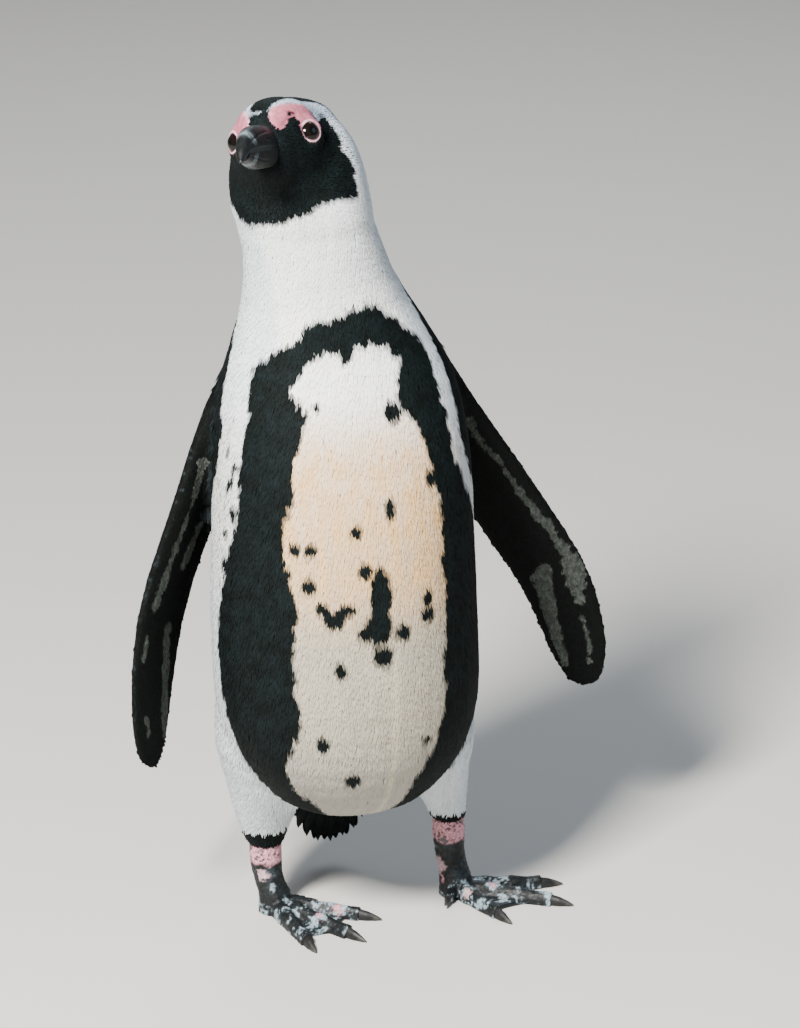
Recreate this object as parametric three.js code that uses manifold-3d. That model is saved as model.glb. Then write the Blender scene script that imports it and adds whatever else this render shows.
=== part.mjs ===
// African penguin, standing, life size. Millimetres, +Z up, the breast faces -Y and the bird's left is +X.
// The whole body is lofted through horizontal sections, the head through sections across its own line of
// sight, and the two are joined and then parted again by thin level cuts. Flippers, tail and shanks are
// lofts cut back to the trunk with a small gap. Every solid reaches out to the tips of the feathers.

import * as THREE from 'three';
import { mergeVertices } from 'three/addons/utils/BufferGeometryUtils.js';
import Module from 'manifold-3d';

const wasm = await Module();
wasm.setup();

// ---- driving dimensions ----
const gap = 0.3;
const skinGap = 0.45;
const neckCut = 466;
const trunkCut = 384;
const far = 2000;

// The trunk and neck, from the vent up to the crown: centre of each level section, half the width
// (side) and the depth of the breast (front) and of the back, all out to the feathers.
const ventHeight = 68;
const crownHeight = 536.5;
const bodySections = [
  { z: 71, x: 4, y: 14, side: 17, front: 17, back: 17 },
  { z: 77, x: 4, y: 12, side: 33, front: 33, back: 30 },
  { z: 88, x: 3.5, y: 8, side: 49, front: 52, back: 43 },
  { z: 104, x: 2.5, y: 4, side: 63, front: 66, back: 54 },
  { z: 125, x: 1.5, y: 0, side: 75, front: 75, back: 66 },
  { z: 150, x: 1, y: -2, side: 82, front: 80, back: 73 },
  { z: 185, x: 0, y: -4, side: 83.5, front: 81, back: 77 },
  { z: 225, x: -1, y: -4, side: 83, front: 80, back: 77.5 },
  { z: 265, x: -1, y: -3, side: 81.5, front: 78, back: 76 },
  { z: 305, x: -1, y: -1, side: 80.5, front: 73.5, back: 72 },
  { z: 335, x: -1.5, y: 2, side: 78, front: 67.5, back: 66 },
  { z: 360, x: -2.5, y: 4, side: 73, front: 60, back: 58 },
  { z: 385, x: -4.5, y: 6, side: 63.5, front: 53, back: 49 },
  { z: 405, x: -8, y: 6.5, side: 54, front: 48.5, back: 43 },
  { z: 425, x: -13, y: 5.5, side: 47, front: 46, back: 39 },
  { z: 445, x: -17.5, y: 4, side: 43.5, front: 45.5, back: 38 },
  { z: 465, x: -24, y: 2.5, side: 43, front: 46, back: 37.5 },
  { z: 485, x: -27, y: 2, side: 42.5, front: 44, back: 37 },
  { z: 503, x: -28, y: 4, side: 39.5, front: 35, back: 34.5 },
  { z: 518, x: -29, y: 6, side: 32.5, front: 26, back: 29 },
  { z: 529, x: -30, y: 9, side: 21.5, front: 18, back: 20 },
];
const bodyRoundness = 2.15;
const bodyRings = 34;
const bodySides = 36;
// Rings stand closer together towards the vent and the crown by this share of the height.
const bodyRingCrowding = 0.055;

// The head is turned to the bird's right, tipped up and a little cocked. Its sections run along the line
// of the bill from a point midway between the eyes; top and bottom are heights above and below the eyes.
const betweenEyes = new THREE.Vector3(-43.5, -12, 521.5);
const headTurn = 28;
const headTip = 17;
const headRoll = 12;
const headSections = [
  { along: -32, side: 18, top: 11, bottom: 20 },
  { along: -21, side: 26.5, top: 18, bottom: 31 },
  { along: -8, side: 29.5, top: 21, bottom: 38 },
  { along: 4, side: 28, top: 20.5, bottom: 40 },
  { along: 14, side: 24, top: 18, bottom: 37 },
  { along: 22, side: 18.5, top: 13.5, bottom: 32.5 },
  { along: 28, side: 13.5, top: 9, bottom: 28 },
  { along: 33, side: 10, top: 5.2, bottom: 24 },
];
const headBackPole = -38;
const headRings = 11;
const headSides = 26;
const headRingEase = 0.9;
const browRoundness = 1.95;
const jowlRoundness = 2.3;

const billStart = 33 + gap;
const billLength = 57;
const billSections = [
  { along: 0, side: 8.8, culmen: 3.6, tomium: -10, keel: -21.5 },
  { along: 0.25, side: 7.8, culmen: 3.4, tomium: -10.6, keel: -22.6 },
  { along: 0.5, side: 6.8, culmen: 2.4, tomium: -11.4, keel: -22.8 },
  { along: 0.7, side: 5.7, culmen: -0.6, tomium: -12.4, keel: -21.4 },
  { along: 0.85, side: 4.3, culmen: -6.2, tomium: -13.8, keel: -18.8 },
  { along: 0.94, side: 2.9, culmen: -12, tomium: -17, keel: -18 },
  { along: 1, side: 1, culmen: -18.4, tomium: -20.2, keel: -20 },
];
const lowerBillShare = 0.86;
const billRings = 10;
const billArchSteps = 10;
const billRoundness = 2.3;
const billRingEase = 0.85;

const eyeRadius = 7.6;
const eyeSide = 20.7;
const eyeForward = 6.5;
const eyeUp = -3;
const eyeSegments = 14;
const eyeBands = 10;

// A flipper from shoulder to tip: chord and thickness at fractions of its length.
const flipperSections = [
  { at: 0, chord: 42, thick: 20 },
  { at: 0.14, chord: 49, thick: 16 },
  { at: 0.35, chord: 54, thick: 11.5 },
  { at: 0.6, chord: 54, thick: 9.5 },
  { at: 0.8, chord: 49.5, thick: 8 },
  { at: 0.93, chord: 39, thick: 6.5 },
  { at: 0.985, chord: 23, thick: 4.5 },
];
const flipperRings = 15;
const flipperSides = 16;
const flipperRingEase = 1.15;
const leadingFullness = 0.3;
// The middle of each flipper as it hangs, and the way across it from the leading to the trailing edge.
const flipperRight = {
  path: [[-42, 28, 378], [-64, 33, 334], [-86, 31, 273], [-110, 24, 207], [-121, 12, 141], [-126, -5, 114]],
  across: [[0.5, 0.6, -0.6], [0.68, 0.66, -0.34], [0.66, 0.65, -0.4]],
};
const flipperLeft = {
  path: [[44, 18, 376], [76, 28, 316], [115, 42, 254], [153, 54, 191], [171, 64, 137], [175, 66, 113]],
  across: [[-0.3, 0.7, -0.68], [-0.5, 0.56, -0.66], [-0.7, 0.62, -0.35]],
};

// The tail fans down and back behind the legs and stays clear of the ground.
const tailSections = [
  { x: 3, y: 36, z: 112, side: 34, thick: 30 },
  { x: 5, y: 56, z: 84, side: 30, thick: 22 },
  { x: 8, y: 73, z: 52, side: 25, thick: 12 },
  { x: 10, y: 84, z: 27, side: 18, thick: 7 },
  { x: 11, y: 88, z: 16, side: 12, thick: 4.5 },
];

// Feathered shanks, from inside the trunk down to the bare ankle.
const shankRight = [
  { x: -44, y: 6, z: 150, side: 36, depth: 46 },
  { x: -45, y: 9, z: 122, side: 35.5, depth: 42 },
  { x: -46, y: 15, z: 96, side: 27.5, depth: 31 },
  { x: -47, y: 19, z: 74, side: 21, depth: 21 },
  { x: -47, y: 21, z: 56, side: 15.5, depth: 14.5 },
  { x: -46.2, y: 21.8, z: 45 + gap, side: 11.5, depth: 11.5 },
];
const shankLeft = [
  { x: 46, y: 6, z: 150, side: 36, depth: 46 },
  { x: 50, y: 9, z: 122, side: 36, depth: 42 },
  { x: 59, y: 14, z: 96, side: 25.5, depth: 30 },
  { x: 67.5, y: 18, z: 74, side: 17, depth: 19.5 },
  { x: 71.5, y: 20, z: 60, side: 13.2, depth: 14 },
  { x: 73.4, y: 20.9, z: 51 + gap, side: 11.8, depth: 11.5 },
];

// Bare feet. A toe's heading is measured from straight ahead (-Y) towards the bird's left (+X).
const footRight = {
  name: 'right',
  inward: 1,
  ankle: new THREE.Vector3(-46.2, 21.8, 45),
  heel: new THREE.Vector3(-41, 19, 9),
  toes: [
    { name: 'inner', heading: 62, length: 56, width: 12.5 },
    { name: 'middle', heading: 35, length: 63, width: 14 },
    { name: 'outer', heading: 8, length: 58, width: 13 },
  ],
  hindHeading: 92,
};
const footLeft = {
  name: 'left',
  inward: -1,
  ankle: new THREE.Vector3(73.4, 20.9, 51),
  heel: new THREE.Vector3(77, 17, 9),
  toes: [
    { name: 'inner', heading: 21, length: 47, width: 12.5 },
    { name: 'middle', heading: 60, length: 64, width: 14 },
    { name: 'outer', heading: 86, length: 56, width: 13 },
  ],
  hindHeading: -28,
};
const toeHeight = 11.5;
const toeTipHeight = 8;
const toeTaper = 0.3;
const toeJoints = [0, 0.17, 0.34, 0.5, 0.67, 0.84, 1];
const knuckleSwell = 0.06;
const knuckles = 3;
const toeArchSteps = 7;
const toeRoundness = 2.2;
const webThickness = 3;
const webReach = 0.86;
const webHollow = 0.8;
const webEdgeSteps = 7;
const hindToeLength = 12;
const hindToeOut = 8;
const hindToeWidth = 8;
const hindToeTipWidth = 6;
const hindToeLow = 2;
const hindToeHigh = 10;
const hindToeTipHigh = 8;
const clawLength = 14;
const clawWidth = 6.2;
const clawHeight = 6.4;
const clawClear = 0.4;
const clawLift = 0.8;
const clawSections = [
  { along: 0, width: 1, high: 1 },
  { along: 0.4, width: 0.86, high: 0.8 },
  { along: 0.75, width: 0.52, high: 0.47 },
  { along: 1, width: 0.14, high: 0.16 },
];
const hindClawShare = 0.6;
const hindClawRaise = 2.4;
// The bare leg: half its width (side) and half its depth from the ankle down to the ball of the foot.
const tarsusSections = [
  { side: 10.3, depth: 9.6 },
  { side: 10.5, depth: 9.4 },
  { side: 9.4, depth: 8 },
  { side: 10.5, depth: 9.5 },
  { side: 11, depth: 11 },
];
const ankleLength = 8;
const footTop = 12;
// Feet are made this much too deep and then cut level with the ground.
const belowGround = 1;

const degrees = Math.PI / 180;

// ---- materials ----
const plumageBlack = new THREE.MeshStandardMaterial({ color: 0x14181b, roughness: 0.62, metalness: 0 });
const plumageWhite = new THREE.MeshStandardMaterial({ color: 0xe6e1d6, roughness: 0.75, metalness: 0 });
const flipperBlack = new THREE.MeshStandardMaterial({ color: 0x181c1f, roughness: 0.5, metalness: 0 });
const footSkin = new THREE.MeshStandardMaterial({ color: 0x20262a, roughness: 0.55, metalness: 0 });
const horn = new THREE.MeshStandardMaterial({ color: 0x1b1d1f, roughness: 0.4, metalness: 0 });
const clawHorn = new THREE.MeshStandardMaterial({ color: 0x2a2724, roughness: 0.4, metalness: 0 });
const eyeDark = new THREE.MeshStandardMaterial({ color: 0x1a1210, roughness: 0.08, metalness: 0 });

// ---- shaping helpers ----

// A smooth curve through the stations: cubic between neighbours, its slope the mean of the slopes on
// both sides, or flat where the value turns.
function smoothValue(stations, key, value, at) {
  const last = stations.length - 1;
  let i = 0;
  while (i < last - 1 && at > stations[i + 1][key]) i += 1;
  const slope = (j) => {
    const k = THREE.MathUtils.clamp(j, 0, last - 1);
    return (stations[k + 1][value] - stations[k][value]) / (stations[k + 1][key] - stations[k][key]);
  };
  const slopeAt = (j) => {
    const before = slope(j - 1);
    const after = slope(j);
    return before * after <= 0 ? 0 : (before + after) / 2;
  };
  const span = stations[i + 1][key] - stations[i][key];
  const t = THREE.MathUtils.clamp((at - stations[i][key]) / span, 0, 1);
  const a = stations[i][value];
  const b = stations[i + 1][value];
  const bend = t * t * (3 - 2 * t);
  return a + (b - a) * bend
    + slopeAt(i) * span * t * (1 - t) * (1 - t)
    - slopeAt(i + 1) * span * t * t * (1 - t);
}

// A point on a superellipse: 2 is round, more is squarer.
function roundedUnit(angle, roundness) {
  const power = 2 / roundness;
  const c = Math.cos(angle);
  const s = Math.sin(angle);
  return [Math.sign(c) * Math.abs(c) ** power, Math.sign(s) * Math.abs(s) ** power];
}

// A closed surface over equal rings, fanned to one point at each end, faces outwards.
function skinOver(rings, firstPoint, lastPoint) {
  const count = rings[0].length;
  const points = [firstPoint, ...rings.flat(), lastPoint];
  const index = [];
  const node = (ring, i) => 1 + ring * count + (i % count);
  for (let i = 0; i < count; i += 1) {
    index.push(0, node(0, i + 1), node(0, i));
    index.push(points.length - 1, node(rings.length - 1, i), node(rings.length - 1, i + 1));
    for (let ring = 0; ring < rings.length - 1; ring += 1) {
      index.push(node(ring, i), node(ring, i + 1), node(ring + 1, i + 1));
      index.push(node(ring, i), node(ring + 1, i + 1), node(ring + 1, i));
    }
  }
  const geometry = new THREE.BufferGeometry();
  const flat = points.flatMap((p) => [p.x, p.y, p.z]);
  geometry.setAttribute('position', new THREE.Float32BufferAttribute(flat, 3));
  geometry.setIndex(enclosedVolume(points, index) < 0 ? index.reverse() : index);
  return geometry;
}

function middleOf(ring) {
  return ring.reduce((sum, p) => sum.add(p), new THREE.Vector3()).divideScalar(ring.length);
}

function enclosedVolume(points, index) {
  let sum = 0;
  for (let i = 0; i < index.length; i += 3) {
    const [a, b, c] = [points[index[i]], points[index[i + 1]], points[index[i + 2]]];
    sum += a.dot(new THREE.Vector3().crossVectors(b, c));
  }
  return sum / 6;
}

function solid(geometry) {
  const bare = geometry.clone();
  bare.deleteAttribute('normal');
  bare.deleteAttribute('uv');
  const merged = mergeVertices(bare, 1e-4);
  return new wasm.Manifold(new wasm.Mesh({
    numProp: 3,
    vertProperties: new Float32Array(merged.attributes.position.array),
    triVerts: new Uint32Array(merged.index.array),
  }));
}

function geometryOf(manifold) {
  const mesh = manifold.getMesh();
  const geometry = new THREE.BufferGeometry();
  geometry.setAttribute('position', new THREE.Float32BufferAttribute(mesh.vertProperties, 3));
  geometry.setIndex([...mesh.triVerts]);
  return geometry;
}

// A block that keeps only what lies between two levels.
function levels(low, high) {
  const block = new THREE.BoxGeometry(far, far, high - low);
  block.translate(0, 0, (low + high) / 2);
  return solid(block);
}

// ---- trunk and neck ----

function bodyRing(z, extra) {
  const read = (value) => smoothValue(bodySections, 'z', value, z);
  const [x, y, side, front, back] = ['x', 'y', 'side', 'front', 'back'].map(read);
  return Array.from({ length: bodySides }, (_, i) => {
    const [across, deep] = roundedUnit((2 * Math.PI * i) / bodySides, bodyRoundness);
    const depth = deep < 0 ? front : back;
    return new THREE.Vector3(x + (side + extra) * across, y + (depth + extra) * deep, z);
  });
}

function bodyLoft(extra) {
  const low = bodySections[0].z;
  const high = bodySections.at(-1).z;
  const rings = Array.from({ length: bodyRings }, (_, i) => {
    const t = i / (bodyRings - 1);
    const eased = t - bodyRingCrowding * Math.sin(2 * Math.PI * t);
    return bodyRing(low + (high - low) * eased, extra);
  });
  const vent = new THREE.Vector3(bodySections[0].x, bodySections[0].y, ventHeight - extra);
  const crown = new THREE.Vector3(bodySections.at(-1).x, bodySections.at(-1).y, crownHeight + extra);
  return skinOver(rings, vent, crown);
}

// ---- head, bill and eyes ----

// The head's own frame: forward along the bill, left, and up.
function headAxes() {
  const turn = headTurn * degrees;
  const tip = headTip * degrees;
  const roll = headRoll * degrees;
  const forward = new THREE.Vector3(
    -Math.sin(turn) * Math.cos(tip),
    -Math.cos(turn) * Math.cos(tip),
    Math.sin(tip),
  );
  const level = new THREE.Vector3(Math.cos(turn), -Math.sin(turn), 0);
  const upright = new THREE.Vector3().crossVectors(forward, level).negate();
  upright.multiplyScalar(Math.sign(upright.z));
  const left = level.clone().multiplyScalar(Math.cos(roll)).addScaledVector(upright, Math.sin(roll));
  const up = upright.clone().multiplyScalar(Math.cos(roll)).addScaledVector(level, -Math.sin(roll));
  return { forward, left, up };
}

const headFrame = headAxes();

function inHead(along, side, height) {
  return betweenEyes.clone()
    .addScaledVector(headFrame.forward, along)
    .addScaledVector(headFrame.left, side)
    .addScaledVector(headFrame.up, height);
}

function headRing(along) {
  const read = (value) => smoothValue(headSections, 'along', value, along);
  const [side, top, bottom] = ['side', 'top', 'bottom'].map(read);
  const middle = (top - bottom) / 2;
  return Array.from({ length: headSides }, (_, i) => {
    const roundness = i < headSides / 2 ? browRoundness : jowlRoundness;
    const [across, high] = roundedUnit((2 * Math.PI * i) / headSides, roundness);
    return inHead(along, side * across, middle + (high * (top + bottom)) / 2);
  });
}

function headLoft() {
  const first = headSections[0].along;
  const last = headSections.at(-1).along;
  const rings = Array.from({ length: headRings }, (_, i) => {
    const t = i / (headRings - 1);
    return headRing(first + (last - first) * Math.sin((t * Math.PI) / 2) ** headRingEase);
  });
  const front = headSections.at(-1);
  return skinOver(
    rings,
    inHead(headBackPole, 0, (headSections[0].top - headSections[0].bottom) / 2),
    inHead(last, 0, (front.top - front.bottom) / 2),
  );
}

// Half of the bill: an arch between the cutting edge and the ridge, closed by a flat floor.
function billHalf(edgeOf, ridgeOf, reach) {
  const rings = Array.from({ length: billRings }, (_, ring) => {
    const share = reach * Math.sin(((ring / (billRings - 1)) * Math.PI) / 2) ** billRingEase;
    const read = (value) => smoothValue(billSections, 'along', value, share);
    const side = read('side');
    const along = billStart + billLength * share;
    const edge = edgeOf(read);
    const ridge = ridgeOf(read);
    const arch = Array.from({ length: billArchSteps + 1 }, (_unused, i) => {
      const [across, high] = roundedUnit((Math.PI * i) / billArchSteps, billRoundness);
      return inHead(along, side * across, edge + (ridge - edge) * high);
    });
    return [...arch, inHead(along, 0, edge)];
  });
  return skinOver(rings, middleOf(rings[0]), middleOf(rings.at(-1)));
}

function billUpper() {
  return billHalf((read) => read('tomium') + gap / 2, (read) => read('culmen'), 1);
}

function billLower() {
  return billHalf((read) => read('tomium') - gap / 2, (read) => read('keel'), lowerBillShare);
}

function eyeball(sideways, extra) {
  const ball = new THREE.SphereGeometry(eyeRadius + extra, eyeSegments, eyeBands);
  const centre = inHead(eyeForward, sideways * eyeSide, eyeUp);
  ball.translate(centre.x, centre.y, centre.z);
  return ball;
}

// ---- flippers, tail and shanks ----

function vectors(rows) {
  return rows.map((row) => new THREE.Vector3(...row));
}

// A flipper: sections stand square to the middle line and turn with the way across; the leading edge is
// the fuller one.
function flipperLoft({ path, across }) {
  const middle = new THREE.CatmullRomCurve3(vectors(path), false, 'centripetal');
  const turning = new THREE.CatmullRomCurve3(vectors(across), false, 'centripetal');
  const rings = Array.from({ length: flipperRings }, (_, ring) => {
    const t = Math.sin(((ring / (flipperRings - 1)) * Math.PI) / 2) ** flipperRingEase;
    const at = flipperSections[0].at + (flipperSections.at(-1).at - flipperSections[0].at) * t;
    const chord = smoothValue(flipperSections, 'at', 'chord', at);
    const thick = smoothValue(flipperSections, 'at', 'thick', at);
    const centre = middle.getPointAt(at);
    const tangent = middle.getTangentAt(at);
    const wide = turning.getPoint(at);
    wide.addScaledVector(tangent, -wide.dot(tangent)).normalize();
    const flat = new THREE.Vector3().crossVectors(tangent, wide);
    return Array.from({ length: flipperSides }, (_unused, i) => {
      const angle = (2 * Math.PI * i) / flipperSides;
      const fullness = 1 - leadingFullness * Math.cos(angle);
      return centre.clone()
        .addScaledVector(wide, (chord / 2) * Math.cos(angle))
        .addScaledVector(flat, (thick / 2) * Math.sin(angle) * fullness);
    });
  });
  return skinOver(rings, middle.getPointAt(0), middle.getPointAt(1));
}

// A loft through ovals, which lie level or stand square to the line through their middles.
function ovalLoft(sections, { deepKey, sides, ringCount, levelRings }) {
  const stations = sections.map((section, i) => ({ ...section, at: i / (sections.length - 1) }));
  const middle = new THREE.CatmullRomCurve3(sections.map((s) => new THREE.Vector3(s.x, s.y, s.z)));
  const rings = Array.from({ length: ringCount }, (_, ring) => {
    const at = ring / (ringCount - 1);
    const centre = middle.getPoint(at);
    const tangent = levelRings ? new THREE.Vector3(0, 0, -1) : middle.getTangent(at);
    const wide = new THREE.Vector3(1, 0, 0).addScaledVector(tangent, -tangent.x).normalize();
    const deep = new THREE.Vector3().crossVectors(tangent, wide);
    const side = smoothValue(stations, 'at', 'side', at);
    const half = smoothValue(stations, 'at', deepKey, at);
    return Array.from({ length: sides }, (_unused, i) => {
      const angle = (2 * Math.PI * i) / sides;
      return centre.clone()
        .addScaledVector(wide, side * Math.cos(angle))
        .addScaledVector(deep, half * Math.sin(angle));
    });
  });
  return skinOver(rings, middle.getPoint(0), middle.getPoint(1));
}

function tailLoft() {
  const halved = tailSections.map((section) => ({ ...section, half: section.thick / 2 }));
  return ovalLoft(halved, { deepKey: 'half', sides: 20, ringCount: 10, levelRings: false });
}

function shankLoft(sections) {
  return ovalLoft(sections, { deepKey: 'depth', sides: 20, ringCount: 11, levelRings: true });
}

// ---- feet ----

function headingVector(heading) {
  return new THREE.Vector3(Math.sin(heading * degrees), -Math.cos(heading * degrees), 0);
}

// A toe or claw: arched sections along a level line, its floor flat.
function archedLoft(start, heading, rows) {
  const ahead = headingVector(heading);
  const aside = new THREE.Vector3(-ahead.y, ahead.x, 0);
  const rings = rows.map(({ along, width, low, high }) => {
    const centre = start.clone().addScaledVector(ahead, along);
    centre.z = 0;
    return Array.from({ length: toeArchSteps + 1 }, (_, i) => {
      const [across, rise] = roundedUnit((Math.PI * i) / toeArchSteps, toeRoundness);
      const point = centre.clone().addScaledVector(aside, (width / 2) * across);
      point.z = low + (high - low) * rise;
      return point;
    });
  });
  return skinOver(rings, middleOf(rings[0]), middleOf(rings.at(-1)));
}

function toeLoft(foot, toe) {
  const rows = toeJoints.map((share) => {
    const knuckle = 1 + knuckleSwell * Math.cos(2 * Math.PI * knuckles * share);
    return {
      along: toe.length * share,
      width: toe.width * (1 - toeTaper * share) * knuckle,
      low: -belowGround,
      high: THREE.MathUtils.lerp(toeHeight, toeTipHeight, share) * knuckle,
    };
  });
  return archedLoft(foot.heel, toe.heading, rows);
}

// A claw narrows and drops to a blunt point; its size is a share of a front claw's.
function clawLoft(start, heading, size) {
  const rows = clawSections.map(({ along, width, high }) => ({
    along: clawLength * size * along,
    width: clawWidth * size * width,
    low: clawClear + clawLift * size * along ** 2,
    high: clawClear + clawHeight * size * high,
  }));
  return archedLoft(start, heading, rows);
}

function toeClaw(foot, toe) {
  const start = foot.heel.clone().addScaledVector(headingVector(toe.heading), toe.length + gap);
  return clawLoft(start, toe.heading, 1);
}

// The web fills between neighbouring toes up to a hollow edge.
function webPlate(foot) {
  const shape = new THREE.Shape();
  const reach = foot.toes.map((toe) => {
    const ahead = headingVector(toe.heading);
    return [foot.heel.x + ahead.x * toe.length * webReach, foot.heel.y + ahead.y * toe.length * webReach];
  });
  shape.moveTo(foot.heel.x, foot.heel.y);
  shape.lineTo(...reach[0]);
  for (let i = 0; i < reach.length - 1; i += 1) {
    const between = (foot.toes[i].heading + foot.toes[i + 1].heading) / 2;
    const ahead = headingVector(between);
    const depth = Math.min(foot.toes[i].length, foot.toes[i + 1].length) * webHollow;
    shape.quadraticCurveTo(foot.heel.x + ahead.x * depth, foot.heel.y + ahead.y * depth, ...reach[i + 1]);
  }
  shape.closePath();
  const plate = new THREE.ExtrudeGeometry(shape, {
    depth: webThickness + belowGround,
    bevelEnabled: false,
    curveSegments: webEdgeSteps,
  });
  plate.translate(0, 0, -belowGround);
  return plate;
}

// The bare lower leg, from the knobbly ankle down to the ball of the foot.
function tarsusLoft(foot) {
  const { ankle, heel } = foot;
  const places = [
    { x: ankle.x, y: ankle.y, z: ankle.z },
    { x: ankle.x, y: ankle.y, z: ankle.z - ankleLength },
    { x: (ankle.x * 2 + heel.x) / 3, y: ankle.y, z: ankle.z / 2 },
    { x: heel.x, y: heel.y, z: footTop },
    { x: heel.x, y: heel.y, z: -belowGround },
  ];
  const sections = places.map((place, i) => ({ ...place, ...tarsusSections[i] }));
  return ovalLoft(sections, { deepKey: 'depth', sides: 16, ringCount: 8, levelRings: true });
}

function hindToeStart(foot) {
  return foot.heel.clone().addScaledVector(headingVector(foot.hindHeading), hindToeOut);
}

function hindToe(foot) {
  const rows = [0, 0.5, 1].map((share) => ({
    along: hindToeLength * share,
    width: THREE.MathUtils.lerp(hindToeWidth, hindToeTipWidth, share),
    low: hindToeLow,
    high: THREE.MathUtils.lerp(hindToeHigh, hindToeTipHigh, share),
  }));
  return archedLoft(hindToeStart(foot), foot.hindHeading, rows);
}

function hindClaw(foot) {
  const start = hindToeStart(foot).addScaledVector(headingVector(foot.hindHeading), hindToeLength + gap);
  const claw = clawLoft(start, foot.hindHeading, hindClawShare);
  claw.translate(0, 0, hindClawRaise);
  return claw;
}

function footSolid(foot) {
  const toes = foot.toes.map((toe) => toeLoft(foot, toe));
  const pieces = [tarsusLoft(foot), webPlate(foot), hindToe(foot), ...toes];
  const joined = pieces.map(solid).reduce((whole, piece) => whole.add(piece));
  return joined.intersect(levels(0, foot.ankle.z));
}

// ---- assembly ----

const penguin = new THREE.Group();

function addNode(name, geometry, material) {
  const mesh = new THREE.Mesh(geometry, material);
  mesh.name = name;
  penguin.add(mesh);
}

const whole = solid(bodyLoft(0)).add(solid(headLoft()));
const sockets = solid(eyeball(1, gap)).add(solid(eyeball(-1, gap)));
const grownBody = solid(bodyLoft(skinGap));
const headSolid = whole.intersect(levels(neckCut + gap / 2, far)).subtract(sockets);

addNode('head', geometryOf(headSolid), plumageBlack);
addNode('neck', geometryOf(whole.intersect(levels(trunkCut + gap / 2, neckCut - gap / 2))), plumageWhite);
addNode('trunk', geometryOf(whole.intersect(levels(-far, trunkCut - gap / 2))), plumageWhite);
addNode('tail', geometryOf(solid(tailLoft()).subtract(grownBody)), plumageBlack);
addNode('bill_upper', billUpper(), horn);
addNode('bill_lower', billLower(), horn);
addNode('eye_left', eyeball(1, 0), eyeDark);
addNode('eye_right', eyeball(-1, 0), eyeDark);

addNode('flipper_right', geometryOf(solid(flipperLoft(flipperRight)).subtract(grownBody)), flipperBlack);
addNode('flipper_left', geometryOf(solid(flipperLoft(flipperLeft)).subtract(grownBody)), flipperBlack);
addNode('shank_right', geometryOf(solid(shankLoft(shankRight)).subtract(grownBody)), plumageWhite);
addNode('shank_left', geometryOf(solid(shankLoft(shankLeft)).subtract(grownBody)), plumageWhite);

for (const foot of [footRight, footLeft]) {
  addNode(`foot_${foot.name}`, geometryOf(footSolid(foot)), footSkin);
  for (const toe of foot.toes) {
    addNode(`claw_${foot.name}_${toe.name}`, toeClaw(foot, toe), clawHorn);
  }
  addNode(`claw_${foot.name}_hind`, hindClaw(foot), clawHorn);
}

// The origin is moved to the ground under the middle of the whole bird.
const box = new THREE.Box3().setFromObject(penguin);
penguin.position.set(-(box.min.x + box.max.x) / 2, -(box.min.y + box.max.y) / 2, -box.min.z);

export default penguin;
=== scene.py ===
# African penguin, a still life-size figure standing with its head turned to its right.
# Metres throughout: the ground is z = 0, the breast faces -Y and the bird's left is +X.
import math

import bpy
import numpy as np
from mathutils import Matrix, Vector


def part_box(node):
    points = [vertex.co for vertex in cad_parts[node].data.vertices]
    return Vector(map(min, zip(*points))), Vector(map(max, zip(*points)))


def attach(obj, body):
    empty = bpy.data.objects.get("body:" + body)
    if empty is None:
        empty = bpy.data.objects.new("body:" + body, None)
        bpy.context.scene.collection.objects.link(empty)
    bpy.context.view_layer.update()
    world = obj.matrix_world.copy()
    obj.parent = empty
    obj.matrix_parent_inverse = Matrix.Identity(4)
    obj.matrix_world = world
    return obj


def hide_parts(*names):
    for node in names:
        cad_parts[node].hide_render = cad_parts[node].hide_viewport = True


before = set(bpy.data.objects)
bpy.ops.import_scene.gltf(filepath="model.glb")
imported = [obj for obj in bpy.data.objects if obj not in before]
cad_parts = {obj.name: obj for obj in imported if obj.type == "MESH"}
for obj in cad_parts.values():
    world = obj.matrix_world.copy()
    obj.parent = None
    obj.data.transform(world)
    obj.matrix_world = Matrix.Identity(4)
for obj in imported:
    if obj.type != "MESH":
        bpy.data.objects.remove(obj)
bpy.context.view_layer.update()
mm = 0.001


def unit(v):  # each row over its own length
    return v / np.maximum(np.linalg.norm(v, axis=-1, keepdims=True), 1e-12)


def dot(a, b):  # row by row
    return (a * b).sum(-1)


def ease(low, high, x):  # 0 below low, 1 above high and 3t² - 2t³ between
    t = np.clip((x - low) / (high - low), 0, 1)
    return t * t * (3 - 2 * t)


def bump(x, middle, width):  # a bell: 1 at the middle, 1/e at one width from it
    return np.exp(-((x - middle) / width) ** 2)


def readRow(rows, at, column=1):  # straight between the rows of a small table
    table = np.array(rows, float)
    order = np.argsort(table[:, 0])
    return np.interp(at, table[order, 0], table[order, column])


def smoothRow(rows, at, column=1):
    # cubic between the rows; the slope at a row is the mean of its neighbours', or flat where the value
    # turns
    table = np.array(rows, float)
    x, y = table[:, 0], table[:, column]
    slope = np.diff(y) / np.diff(x)
    before = np.concatenate([slope[:1], slope])
    after = np.concatenate([slope, slope[-1:]])
    at = np.clip(at, x[0], x[-1])
    tangent = np.where(before * after <= 0, 0, (before + after) / 2)
    i = np.clip(np.searchsorted(x, at, side="right") - 1, 0, len(x) - 2)
    span = x[i + 1] - x[i]
    t = (at - x[i]) / span
    rise = t * t * (3 - 2 * t)
    bent = tangent[i] * t * (1 - t) ** 2 - tangent[i + 1] * t * t * (1 - t)
    return y[i] + (y[i + 1] - y[i]) * rise + span * bent


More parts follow.
